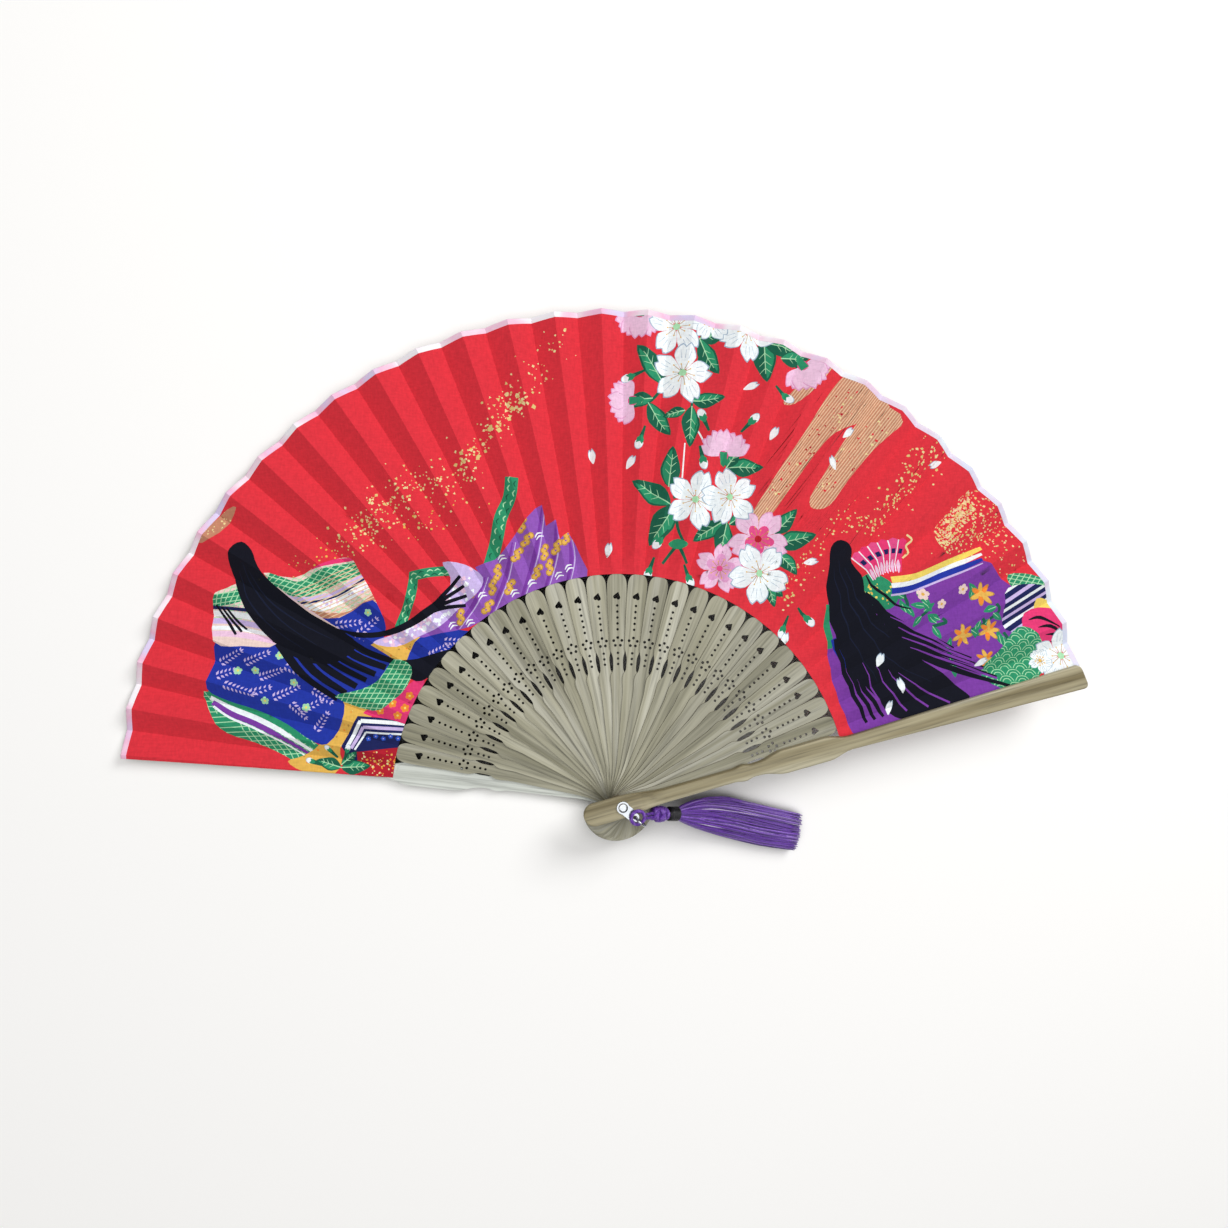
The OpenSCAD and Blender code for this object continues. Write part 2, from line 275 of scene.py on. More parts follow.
def metal():
    """Bright plating with fine scuffs."""
    m, tree, bsdf, place = new_material(
        "silver_metal", Base_Color=(*rgb("#b4b8bd"), 1), Metallic=1.0, Roughness=0.25
    )
    scuffs = noise(tree, place, Scale=900.0, Detail=5.0)
    glossed(tree, bsdf, scuffs, 0.12, 0.42)
    bumped(tree, bsdf, scuffs, 0.15, 0.0001)
    return m


def thread(name, dark, mid, pale, sheen):
    """Silky thread: each strand's tone is in the mesh's colours; the skirt's palest strands are a painted
    highlight.
    """
    m, tree, bsdf, place = new_material(
        name, Roughness=0.42, Specular_IOR_Level=0.5, Sheen_Weight=sheen, Sheen_Roughness=0.35
    )
    tone = add(tree, "ShaderNodeVertexColor", {"layer_name": "tone"}).outputs["Color"]
    twist = noise(tree, place, Scale=1500.0, Detail=3.0)
    colour = ramp(tree, tone, [(0.0, rgb(dark)), (0.5, rgb(mid)), (1.0, rgb(pale))])
    shade = ramp(tree, twist, [(0.3, grey(0.75)), (0.7, grey(1.12))])
    coloured(tree, bsdf, mixed(tree, 1.0, colour, shade, "MULTIPLY"))
    bumped(tree, bsdf, twist, 0.4, 0.0001)
    return m


# ---- the sticks and the metal, which stay as the CAD made them


RIB_SHADES = [1.0, 0.9, 0.97, 0.86, 1.05, 0.94, 1.02]
DARKER_FROM, DARKER_OVER, DARKEST = 16, 12, 0.78  # the ribs on the right darken, over this many sticks


def dress(node, material):
    """Gives a CAD node its material."""
    node.data.materials.clear()
    node.data.materials.append(material)


def finish_sticks():
    for n, name in enumerate(STICKS):
        kind, shade = "guard", 1.0
        if name.startswith("rib_"):
            kind = "rib"
            shade = RIB_SHADES[n % len(RIB_SHADES)] * mix(1.0, DARKEST, ease((n - DARKER_FROM) / DARKER_OVER))
        tones = WOOD_TONES["guard_inside" if name == "rear_guard" else kind]
        material = wood("wood_" + name, tones, stick_angle(n), n, kind == "rib", shade)
        dress(frame["nodes"][name], material)


def finish_metal():
    silver = metal()
    for name in ("rivet_pin", "rivet_rear_cap", "rivet_front_cap", "swivel_tab", "jump_ring"):
        dress(frame["nodes"][name], silver)


# ---- the leaf's shape


def tilt_at(n, r):
    t = clamp((r - RIB_TOP) / TWIST_LENGTH)
    return math.radians(GUARD_TILT if n in (0, LAST) else PLEAT_TILT) * t * (2 - t)


GLUE = 0.035
LIFT = SLIP_T / 2 + CLOTH_T / 2 + GLUE
UNDER_GUARD = -0.31  # the front guard lies on the cloth
STEP_UP, STEP_UP_TO, STEP_UP_OVER = 0.1, 105, 6  # the cloth stands higher near its inner edge


def pleat_height(n, r, delta):
    """Height of the cloth's middle on the pleat of stick n, delta degrees counter-clockwise of it."""
    tilt = tilt_at(n, r)
    lift = LIFT + STEP_UP * (1 - ease((r - STEP_UP_TO) / STEP_UP_OVER))
    if n in (0, LAST):
        lift = UNDER_GUARD if n else CLOTH_T / 2 + GLUE
    return plane_z(n) + lift / math.cos(tilt) + math.tan(tilt) * r * math.sin(math.radians(delta))


def slip_half(r):
    return mix(*SLIP_HALF, (r - RIB_TOP) / (SLIP_END - RIB_TOP))


# the cloth sinks by EMBOSS beside a slip; the slope starts a little off the slip's edge
EMBOSS = 0.08
EMBOSS_START = 0.08
EMBOSS_EDGE = 0.5


def leaf_height(r, angle):
    """Height of the cloth's middle at a place on the leaf."""
    n = min(LAST, max(0, round((REAR_ANGLE - angle) / STEP)))
    delta = angle - stick_angle(n)
    if n == 0 and delta > HALF_PLEAT:
        return pleat_height(0, r, 2 * HALF_PLEAT - delta)
    if abs(delta) <= HALF_PLEAT + 1e-9:
        side = abs(r * math.sin(math.radians(delta)))
        over = 1 if n in (0, LAST) else 1 - ease((side - slip_half(r) - EMBOSS_START) / EMBOSS_EDGE)
        return pleat_height(n, r, delta) - EMBOSS * (1 - over)
    upper, lower = (n - 1, n) if delta > 0 else (n, n + 1)
    t = (stick_angle(upper) - HALF_PLEAT - angle) / (STEP - 2 * HALF_PLEAT)
    at_guard = lower == LAST and t > 0.98
    drop = 0 if at_guard else EMBOSS
    return mix(pleat_height(upper, r, -HALF_PLEAT), pleat_height(lower, r, HALF_PLEAT), t) - drop


RADII = [LEAF_IN, 95, 98, 101.5, 105, 109] + [LEAF_OUT - 6 * i for i in range(14, -1, -1)]


LINE_GAP = 0.05  # degrees, the least from one of a panel's lines to the next


def lateral_angles(n, r):
    """Angles, from counter-clockwise to clockwise, that panel n needs at radius r.

    The first panel also has the cloth left of the rear guard and the little fold at its edge.
    """
    edge = math.degrees(math.asin((slip_half(r) + EMBOSS_START) / r))
    outer = min(HALF_PLEAT - LINE_GAP, edge + math.degrees(EMBOSS_EDGE / r))
    a, b = stick_angle(n), stick_angle(n + 1)
    reach = LINE_GAP + FLAP_ANGLE * (r - LEAF_IN) / (LEAF_OUT - LEAF_IN)
    flap = [a + HALF_PLEAT + reach, a + HALF_PLEAT, a + HALF_PLEAT / 2] if n == 0 else []
    middle = [a, a - edge, a - outer, a - HALF_PLEAT, (a + b) / 2, b + HALF_PLEAT]
    return flap + middle + [b + outer, b + edge, b]


def is_crease(angle):
    """The number of the crease that runs at this angle, or None."""
    n = round((REAR_ANGLE - angle) / STEP)
    off = abs(angle - stick_angle(n))
    return 2 * n + (angle < stick_angle(n)) if abs(off - HALF_PLEAT) < 1e-3 else None


# ---- the print: flat shapes in millimetres, later ones over earlier ones

INK = {
    "red": "#da333f", "wine": "#b21f2f", "white": "#eef4f6", "line": "#9fb4c8", "pink": "#eac3dd",
    "rose": "#dc9cc6", "lilac": "#c9b6e4", "blush": "#e0508a", "magenta": "#e23a74", "navy": "#1c2358",
    "blue": "#2236a0", "royal": "#2f57c4", "black": "#10121e", "sheen": "#171d33", "green": "#2c8f66",
    "deep": "#1a5f48", "mint": "#a8dcae", "mustard": "#e2b354", "yellow": "#f0d766", "orange": "#ee8a35",
    "gold": "#e6d79b", "straw": "#d9c37c", "ochre": "#b98a43", "tan": "#c2866a", "sand": "#e3bf9c",
    "purple": "#7a3c9f", "violet": "#8f57b5", "shell": "#e9cfc6",
}
shapes = []
rng = random.Random(11)


def paint(points, ink, inside=None, name=None):
    """Adds a flat shape; `inside` limits it to the shape of that name."""
    twice = sum(a[0] * b[1] - b[0] * a[1] for a, b in zip(points, points[1:] + points[:1]))
    if abs(twice) < 0.004:
        return
    points = list(points) if twice > 0 else list(points)[::-1]
    angles = [math.degrees(math.atan2(y, x)) for x, y in points]
    shapes.append({
        "points": points, "ink": ink, "inside": inside, "name": name,
        "low": min(angles), "high": max(angles),
    })


def smooth(points, closed=True, steps=4):
    """A rounded line through the given points."""
    count, out = len(points), []
    for i in range(count if closed else count - 1):
        near = [i + k - 1 for k in range(4)]
        four = [points[k % count if closed else min(count - 1, max(0, k))] for k in near]
        for t in (s / steps for s in range(steps)):
            out.append(tuple(
                b + ((c - a) * t + (2 * a - 5 * b + 4 * c - d) * t * t + (3 * b - a - 3 * c + d) * t**3) / 2
                for a, b, c, d in zip(*four)
            ))
    return out if closed else out + [tuple(points[-1])]


def blob(points, ink, inside=None, name=None):
    paint(smooth(points, steps=3), ink, inside, name)


def stroke(points, widths, ink, inside=None, steps=4):
    """A brush stroke along a rounded line; it has one width, or widths spread evenly over it."""
    widths = widths if isinstance(widths, list) else [widths] * 2
    line = smooth(points, False, steps) if len(points) > 2 else list(points)
    left, right = [], []
    for i, (x, y) in enumerate(line):
        (ax, ay), (bx, by) = line[max(0, i - 1)], line[min(len(line) - 1, i + 1)]
        length = math.hypot(bx - ax, by - ay) or 1
        at = i / (len(line) - 1) * (len(widths) - 1)
        k = min(len(widths) - 2, int(at))
        half = max(0.03, mix(widths[k], widths[k + 1], at - k) / 2) / length
        left.append((x - (by - ay) * half, y + (bx - ax) * half))
        right.append((x + (by - ay) * half, y - (bx - ax) * half))
    paint(left + right[::-1], ink, inside)


def placed(points, x, y, size, turn):
    c, s = math.cos(math.radians(turn)) * size, math.sin(math.radians(turn)) * size
    return [(x + u * c - v * s, y + u * s + v * c) for u, v in points]


def disc(x, y, r, ink, inside=None, sides=9):
    turns = [2 * math.pi * i / sides for i in range(sides)]
    paint([(x + r * math.cos(t), y + r * math.sin(t)) for t in turns], ink, inside)


PETAL = smooth([
    (0.08, 0), (0.28, -0.2), (0.6, -0.38), (0.86, -0.28), (1.05, -0.12), (0.9, 0.02),
    (1.0, 0.13), (0.84, 0.3), (0.58, 0.36), (0.28, 0.2),
], steps=2)
PLAIN_PETAL = smooth([(0, 0), (0.4, -0.34), (0.85, -0.24), (1, 0), (0.85, 0.24), (0.4, 0.34)], steps=2)
FALLEN = [(u, 0.62 * v) for u, v in PETAL]
LEAF_OUTLINE = smooth([
    (0, 0), (0.2, -0.19), (0.45, -0.27), (0.78, -0.15), (1.05, 0.02), (0.78, 0.16), (0.45, 0.25), (0.2, 0.17),
], steps=2)
LEAF_SIDE = smooth([(0.04, 0.01), (0.5, 0.015), (0.96, 0.02), (0.76, 0.12), (0.45, 0.2), (0.2, 0.13)],
                   steps=2)


def blossom(x, y, r, turn, ink="white", tips=None, heart="mint"):
    for i in range(5):
        a = turn + 72 * i
        paint(placed(PETAL, x, y, r, a), "line" if ink == "white" else "rose")
        paint(placed(PETAL, x, y, r * 0.95, a), ink)
        if tips:
            paint(placed(PLAIN_PETAL, x, y, r * (0.5 if tips == "blush" else 0.62), a), tips)
        for lean in (-13, 0, 13):
            ray = [placed([(t, 0)], x, y, r, a + lean)[0] for t in (0.5, 0.8)]
            stroke(ray, [0.22, 0.1], "line" if ink == "white" else "rose")
    for i in range(10):
        a = turn + 36 * i + 18
        reach = 0.4 if i % 2 else 0.3
        tip = placed([(reach, 0)], x, y, r, a)[0]
        stroke([placed([(0.1, 0)], x, y, r, a)[0], tip], [0.25, 0.2], "ochre")
        disc(*tip, 0.32, "mustard", sides=6)
    disc(x, y, r * 0.12, heart)


def run(x0, y0, x1, y1):
    """Length and direction from one place to another."""
    return math.hypot(x1 - x0, y1 - y0), math.degrees(math.atan2(y1 - y0, x1 - x0))


def leaf(x0, y0, x1, y1):
    length, turn = run(x0, y0, x1, y1)
    size = length * 1.05
    paint(placed(LEAF_OUTLINE, x0, y0, size, turn), "deep")
    paint(placed(LEAF_SIDE, x0, y0, size, turn), "green")
    stroke([(x0, y0), (mix(x0, x1, 0.88), mix(y0, y1, 0.88))], [0.45, 0.25], "mint")
    for t in (0.32, 0.52, 0.7):
        for side in (-1, 1):
            ends = placed([(t, 0), (t + 0.13, side * 0.13)], x0, y0, size, turn)
            stroke(ends, [0.28, 0.14], "mint")


def bud(x, y, turn, size=5, stem=5):
    root = placed([(-stem, 0)], x, y, 1, turn)[0]
    stroke([root, placed([(0.6, 0)], x, y, 1, turn)[0]], [0.9, 1.9], "deep")
    paint(placed(PLAIN_PETAL, x, y, size, turn), "line")
    paint(placed(PLAIN_PETAL, x, y, size * 0.93, turn), "white")
    cup = [(-0.25, 0), (0.1, -0.3), (0.5, -0.24), (0.32, 0), (0.5, 0.24), (0.1, 0.3)]
    paint(placed(cup, x, y, size, turn), "green")


def half_blossom(x, y, r, turn):
    """A pink blossom from the side, its petals spread from a green cup."""
    for lean in (-62, 62, -34, 34, 0):
        paint(placed(PETAL, x, y, r, turn + lean), "rose")
        paint(placed(PETAL, x, y, r * 0.94, turn + lean), "pink")
    disc(x, y, r * 0.2, "blush")
    paint(placed([(0.15, 0.16), (-0.3, 0.12), (-0.45, 0), (-0.3, -0.12), (0.15, -0.16)], x, y, r, turn),
          "green")


def petal(x, y, turn, size=6):
    paint(placed(FALLEN, x, y, size * 1.1, turn), "line")
    paint(placed(FALLEN, x, y, size, turn), "white")


def flecks(path, spread, count, inks, size, inside=None):
    line = smooth(path, False, 8)
    for _ in range(count):
        x, y = rng.choice(line)
        x, y = x + rng.gauss(0, spread), y + rng.gauss(0, spread)
        s, start, corners = size * rng.uniform(0.45, 1.3), rng.uniform(0, 360), rng.choice((3, 4, 4, 5))
        rays = [(start + 360 * k / corners, s * rng.uniform(0.6, 1.1)) for k in range(corners)]
        paint([(x + d * math.cos(math.radians(a)), y + d * math.sin(math.radians(a))) for a, d in rays],
              rng.choice(inks), inside)


SPRIG_LEAF = 2.5


def sprig(x0, y0, x1, y1, inside):
    """A pale stalk of small paired leaves."""
    length, turn = run(x0, y0, x1, y1)
    count = max(3, round(length / 1.7))
    for i in range(count + 1):
        x, y = mix(x0, x1, i / count), mix(y0, y1, i / count)
        size = SPRIG_LEAF * (1 - 0.35 * i / count)
        for side in (-1, 1):
            shape = placed([(0.2, 0), (0.5, -0.2), (1, 0), (0.5, 0.2)], x, y, size, turn + side * 48)
            paint(shape, "lilac", inside)
    tip = placed([(0, 0), (0.5, -0.18), (1, 0), (0.5, 0.18)], x1, y1, SPRIG_LEAF * 0.7, turn)
    paint(tip, "lilac", inside)


def little_flower(x, y, r, ink, heart, inside=None):
    turn = rng.uniform(0, 72)
    for i in range(5):
        disc(*placed([(0.62, 0)], x, y, r, turn + 72 * i)[0], r * 0.46, ink, inside, 7)
    disc(x, y, r * 0.3, heart, inside, 6)


def ruled(x0, y0, x1, y1, pitch, turn, width, inks, inside):
    """Parallel lines across a box, at `turn` degrees."""
    cx, cy = (x0 + x1) / 2, (y0 + y1) / 2
    reach = math.hypot(x1 - x0, y1 - y0) / 2
    for i in range(int(2 * reach / pitch)):
        v = -reach + i * pitch
        ends = placed([(-reach, v), (reach, v)], cx, cy, 1, turn)
        stroke(ends, width, inks[i % len(inks)], inside)


def net(x0, y0, x1, y1, pitch, turn, inside):
    for lean in (-32, 32):
        ruled(x0, y0, x1, y1, pitch, turn + lean, 0.35, ["mint"], inside)


def waves(x0, y0, x1, y1, r, inside):
    """Rows of arcs, each row half an arc along from the last."""
    for j in range(int((y1 - y0) / (r * 0.8)) + 1):
        x, y = x0 + (j % 2) * r, y0 + j * r * 0.8
        while x < x1 + r:
            for size in (r * 0.92, r * 0.55):
                turns = [math.radians(a) for a in (15, 60, 120, 165)]
                stroke([(x + size * math.cos(t), y + size * math.sin(t)) for t in turns], 0.3, "mint",
                       inside, 2)
            x += 2 * r


def tress(name, outline, streaks):
    """Long loose hair: a dark mass with a few blue gleams along it."""
    blob(outline, "black", name=name)
    for line in streaks:
        stroke(line, [0.15, 0.6, 0.15], "sheen", name)


def lock(start, end, shares, sag, widths, ink="black"):
    """A lock of hair whose middle lies at these shares of the way, and lower by the sag."""
    middle = tuple(mix(a, b, t) - s for a, b, t, s in zip(start, end, shares, sag))
    stroke([start, middle, end], widths, ink)
    return middle


def print_left_robe():
    blob([(-166, 47), (-150, 42), (-138, 37), (-128, 30), (-120, 22), (-127, 16), (-135, 20), (-147, 26),
          (-157, 30), (-163, 37)], "green", name="hem")
    net(-168, 12, -118, 50, 2.1, 150, "hem")
    edge = [(-164.5, 46.5), (-156, 42), (-146, 38), (-136, 33), (-128, 27.5), (-120, 21)]
    for drop, width, ink in ((0, 2.6, "green"), (2.2, 1.9, "white"), (4.2, 2, "purple"), (5.8, 0.8, "white")):
        line = [(x - drop * 0.3 * t, y - drop) for (x, y), t in zip(edge, (-1, 0, 0.5, 1, 1, 1))]
        stroke(line, [width, width, width * 0.6], ink)
    blob([(-134, 18), (-128, 14), (-118, 11.5), (-113, 16), (-113, 23), (-106, 31), (-98, 39), (-106, 44),
          (-114, 43), (-118, 33), (-121, 25), (-128, 20)], "mustard", name="lining")
    flecks([(-130, 17), (-118, 24), (-106, 38)], 3.5, 40, ["gold", "ochre", "orange"], 0.5, "lining")
    paint([(-112.5, 24), (-106, 36), (-84, 33.5), (-84, 27), (-92, 9.5), (-106, 11)], "navy", name="cuff")
    for drop, width, ink in ((1.2, 1.5, "white"), (3.4, 1.3, "lilac"), (5.4, 0.8, "white")):
        bend = [(-111 + drop * 0.7, 24 - drop * 0.3), (-105.3 + drop * 0.45, 35.5 - drop * 1.15),
                (-83, 33.2 - drop)]
        for part in (bend[:2], bend[1:]):
            stroke(part, width, ink, "cuff")
    for x in range(-102, -84, 3):
        little_flower(x, 26.5 + (x % 2), 1.0, "royal", "lilac", "cuff")
    paint([(-106.5, 21.5), (-86, 23), (-86, 8), (-107, 9.5)], "wine", "cuff", "speckled")
    flecks([(-103, 18), (-96, 15), (-89, 13)], 3.6, 110, ["gold", "mustard", "orange"], 0.5, "speckled")
    for line in ((-113, 15, -102.5, 15), (-113, 15, -122, 18), (-113, 16, -107, 21)):
        leaf(*line)
    for x, y, turn in ((-117, 22, 130), (-110.5, 21.5, 70), (-124, 17.5, 160)):
        bud(x, y, turn, 3.2, 4)
    blob([(-104, 37), (-96, 41), (-86, 48), (-80, 52), (-79, 44), (-82, 32), (-92, 34)], "magenta",
         name="inner")
    for x, y in ((-97, 38), (-92, 41), (-87, 39), (-85, 44), (-90, 36)):
        little_flower(x, y, 1.7, "orange", "yellow", "inner")
    robe = [(-160, 67), (-150, 65), (-139, 66), (-128, 60), (-118, 51), (-112, 43), (-112, 34), (-118, 25),
            (-125, 27), (-134, 33), (-146, 39), (-157, 43), (-164.5, 48), (-162, 58)]
    blob(robe, "blue", name="robe")
    for line in ((-160, 58, -151, 63), (-158, 50, -147, 46), (-150, 58, -141, 62), (-145, 52, -136, 55),
                 (-139, 44, -130, 48), (-134, 57, -126, 53), (-129, 38, -121, 42), (-124, 47, -117, 42),
                 (-123, 30, -118, 37), (-148, 46, -141, 48), (-161, 53, -155, 55), (-132, 42, -127, 36)):
        sprig(*line, "robe")
    for x, y in ((-146, 55), (-142, 43), (-126, 40), (-131, 50), (-153, 55), (-136, 61)):
        little_flower(x, y, 1.6, "mint", "yellow", "robe")


def print_left_shoulders():
    blob([(-161, 84), (-156, 88), (-150, 90), (-142, 84), (-137, 66), (-150, 65), (-161, 67)], "shell",
         name="sleeve")
    stroke([(-162, 83), (-153, 84.5), (-148, 87)], [5, 5, 6], "green", "sleeve")
    net(-163, 80, -146, 92, 1.8, 40, "sleeve")
    stroke([(-162, 80.5), (-154, 80), (-145, 79)], 1.4, "navy", "sleeve")
    for y, ink, width in ((77.5, "white", 2.4), (74.5, "lilac", 2.2), (71.8, "white", 1.6),
                          (69.5, "pink", 2.2)):
        stroke([(-163, y + 0.6), (-152, y), (-138, y - 3)], width, ink, "sleeve")
    blob([(-141, 94), (-130, 92), (-118, 98), (-108, 100), (-104, 94), (-98, 83), (-94, 72), (-100, 62),
          (-116, 72), (-130, 82)], "shell", name="collar")
    stroke([(-140, 91), (-128, 86.5), (-117, 92), (-103, 96)], [7, 8, 8, 5], "green", "collar")
    net(-142, 82, -102, 102, 2, 15, "collar")
    stroke([(-136, 93.5), (-126, 95.5), (-117, 98), (-106, 99.5)], [1.6, 2.2, 2.2, 1.2], "magenta", "collar")
    stroke([(-137, 86), (-127, 83.5), (-114, 86), (-103, 93)], 1.6, "lilac", "collar")
    stroke([(-137, 84.5), (-127, 82), (-113, 84.6), (-102.5, 91.5)], 0.9, "navy", "collar")
    stroke([(-135, 82), (-125, 79.6), (-113, 82.5), (-101, 89)], [2.6, 3.4, 3.6, 3], "white", "collar")
    flecks([(-126, 80), (-114, 82.5), (-103, 88)], 1.2, 26, ["pink", "lilac"], 0.8, "collar")
    stroke([(-130, 79), (-118, 76.5), (-108, 77), (-98, 84)], [3, 3.4, 3.4, 3], "tan", "collar")
    ruled(-124, 72, -96, 88, 1.5, 25, 0.4, ["sand"], "collar")
    blob([(-124, 76), (-112, 76), (-99, 83), (-93, 72), (-99, 62), (-112, 70)], "blue", "collar", "yoke")
    for line in ((-114, 73, -105, 74), (-105, 69, -98, 75), (-111, 69, -104, 66)):
        sprig(*line, "yoke")
    little_flower(-101, 78, 1.5, "mint", "yellow", "yoke")


def print_left_hair():
    streaks = [
        [(-149, 98), (-146, 88), (-135, 75), (-121, 65)],
        [(-151, 95), (-148, 84), (-138, 72), (-126, 63)],
        [(-147, 95), (-141, 84), (-128, 74), (-115, 67)],
    ]
    blob([(-134, 68), (-118, 72), (-106, 68), (-97, 63), (-90, 57), (-96, 49), (-106, 44), (-114, 43),
          (-124, 52), (-134, 60)], "blue", name="under")
    for k in range(7):
        start, end = (-137 + 4 * k, 66 + 0.7 * k), (-114 + 3.9 * k, 43 + 2.5 * k)
        lock(start, end, (0.5, 0.5), (1.2, 1.6), [3.2, 3, 2.3])
    tress("hair", [(-150, 106.5), (-146, 103), (-143.5, 97), (-138, 90), (-127, 81), (-113, 71.5),
                   (-106, 66), (-110, 60), (-120, 57), (-132, 61), (-143, 71), (-151, 85), (-154.5, 97),
                   (-154, 103.5)], streaks)
    for k in range(3):
        stroke([(-160 + 2 * k, 81.5 - 0.6 * k), (-156.5 + 2 * k, 75), (-153 + 2 * k, 69.5 + k)],
               [0.8, 1.2, 0.9], "black")
        gap = [(-136 + 3 * k, 88.4 - 2.6 * k), (-129 + 3 * k, 82.6 - 2.4 * k), (-119 + 3 * k, 75.8 - 2 * k)]
        stroke(gap, [0.3, 0.8, 0.3], "shell" if k != 1 else "pink")
    blob([(-115, 44), (-104, 47), (-97, 51), (-91, 59), (-84, 56), (-86, 48), (-92, 42), (-100, 38)],
         "green", name="net")
    net(-116, 36, -82, 60, 2, 30, "net")


def ribbon(points, width):
    """A woven green band with small marks along it."""
    stroke(points, width, "green")
    line = smooth(points, False, 5)
    for i in range(1, len(line) - 1):
        (ax, ay), (x, y), (bx, by) = line[i - 1 : i + 2]
        turn = math.degrees(math.atan2(by - ay, bx - ax))
        side = (0.22 if i % 2 else -0.22) * width
        mark = [(-1.2, side - 0.5), (0, side + 0.2), (1.2, side - 0.5)]
        stroke(placed(mark, x, y, 1, turn), [0.3, 0.6, 0.3], "mint" if i % 3 else "deep", steps=2)


def print_train():
    ribbon([(-89, 70), (-86.5, 77), (-84, 84), (-82.5, 94)], 3.9)
    ribbon([(-83.5, 92.5), (-76, 94), (-69, 94.5), (-64, 94)], 3.9)
    ribbon([(-53, 93), (-49.5, 106), (-47.5, 116), (-44, 124), (-43, 132)], 5.3)
    blob([(-100, 65), (-88, 68.5), (-78, 69), (-80, 62), (-88, 57), (-93, 60)], "mustard", name="lining2")
    flecks([(-98, 64), (-88, 64), (-80, 66)], 2, 20, ["orange", "ochre"], 0.5, "lining2")
    blob([(-79, 69), (-60, 70), (-64, 61), (-76, 56), (-84, 52), (-86, 58)], "blue", name="skirt2")
    for line in ((-77, 60, -70, 64), (-71, 66, -64, 66), (-80, 56, -75, 60)):
        sprig(*line, "skirt2")
    train = [(-82, 68), (-72, 69.5), (-60, 72), (-45, 80), (-27, 88), (-13, 91.5), (-15, 99), (-20.5, 110),
             (-24, 107), (-25.5, 115), (-29.5, 112.5), (-31, 121), (-37, 116), (-44, 106), (-50, 99),
             (-58, 96), (-55, 90), (-64, 82)]
    paint(smooth(train, steps=2), "violet", name="train")
    for x0, y0, x1, y1 in ((-31, 120, -40, 82), (-25.5, 114, -30, 87), (-20.5, 109, -21, 90),
                           (-43, 106, -52, 77), (-54, 92, -66, 71)):
        x, y = (x0 + x1) / 2, (y0 + y1) / 2
        stroke([(x0, y0), (x + 1.5, y), (x1, y1)], [0.5, 1.8, 1], "purple", "train")
        stroke([(x0 + 1.3, y0), (x + 3, y), (x1 + 1.4, y1)], [0.3, 0.5, 0.3], "lilac", "train")
    for x, y in ((-37, 107), (-41, 101), (-49, 94), (-51, 88), (-30, 102), (-25, 104), (-33, 94), (-64, 76),
                 (-53, 80), (-21, 108), (-44, 88), (-59, 87), (-39, 113), (-28, 96)):
        turn = 55 + rng.uniform(0, 180) * 0.2
        for ink, r in (("ochre", 1.5), ("mustard", 1)):
            for spot in placed([(-2.3, 0.3), (-0.9, -0.4), (0.6, 0.5), (2.1, -0.2)], x, y, 1, turn):
                disc(*spot, r, ink, "train", 7)
        for spot in placed([(-1.5, 0), (1.4, 0)], x, y, 1, turn):
            disc(*spot, 0.4, "violet", "train", 6)
    for x, y in ((-55, 84), (-42, 85), (-20, 95), (-60, 73), (-32, 108), (-35, 89), (-47, 99), (-24, 92),
                 (-67, 72)):
        for lift in (0, 1.3):
            curl = [(-1.7, lift - 0.5), (0, lift + 0.5), (1.7, lift - 0.3)]
            stroke(placed(curl, x, y, 1, 25 + 5 * lift), [0.3, 0.7, 0.3], "white", "train", 2)
    blob([(-90, 58), (-82, 59), (-72, 62), (-64, 63), (-70, 57), (-80, 50), (-86, 52)], "black")
    blob([(-99, 66), (-90, 69.5), (-78, 76), (-70, 84), (-68, 92), (-71, 98), (-62, 97), (-55, 92),
          (-57, 86), (-64, 80), (-72, 72.5), (-80, 68.5), (-90, 64)], "lilac", name="cuff2")
    flecks([(-90, 67), (-74, 76), (-62, 90)], 2.6, 90, ["white", "white", "pink"], 1.2, "cuff2")
    stroke([(-119, 72.5), (-108, 69.5), (-97, 69), (-87, 72), (-78, 77.5), (-72, 82)],
           [1.6, 2, 2.2, 2.8, 3.6, 3.6], "black")
    for x, y in ((-64, 92.5), (-62.5, 88.5), (-61.5, 84.5), (-62, 80.5)):
        stroke([(-80, 76), (-72, 81.5 + (y - 86.5) * 0.35), (x, y)], [1.4, 1.7, 1.3], "black")


GOLDS = ["gold", "straw"]


def print_gold():
    flecks([(-104, 108), (-95, 118), (-80, 128), (-67, 132), (-58, 142), (-46, 157), (-36, 169), (-22, 188)],
           3.6, 270, ["gold", "gold", "straw"], 0.55)
    flecks([(-108, 104), (-95, 119), (-84, 124)], 5, 110, GOLDS, 0.66)
    flecks([(-62, 138), (-46, 157), (-40, 164)], 3.2, 60, GOLDS, 1.0)
    flecks([(-84, 112), (-70, 120), (-60, 130)], 4.6, 50, ["gold", "straw", "mustard"], 0.55)
    flecks([(-128, 96), (-116, 102), (-106, 106)], 3, 36, ["straw", "mustard"], 0.5)
    blob([(-166, 106), (-158, 110), (-151, 120), (-158, 117)], "tan", name="lens")
    flecks([(-163, 109), (-156, 116)], 1.4, 20, ["gold"], 0.5, "lens")
    for x, y, turn in ((-10, 137, 100), (3, 135, 60), (-5, 99, 80)):
        petal(x, y, turn)


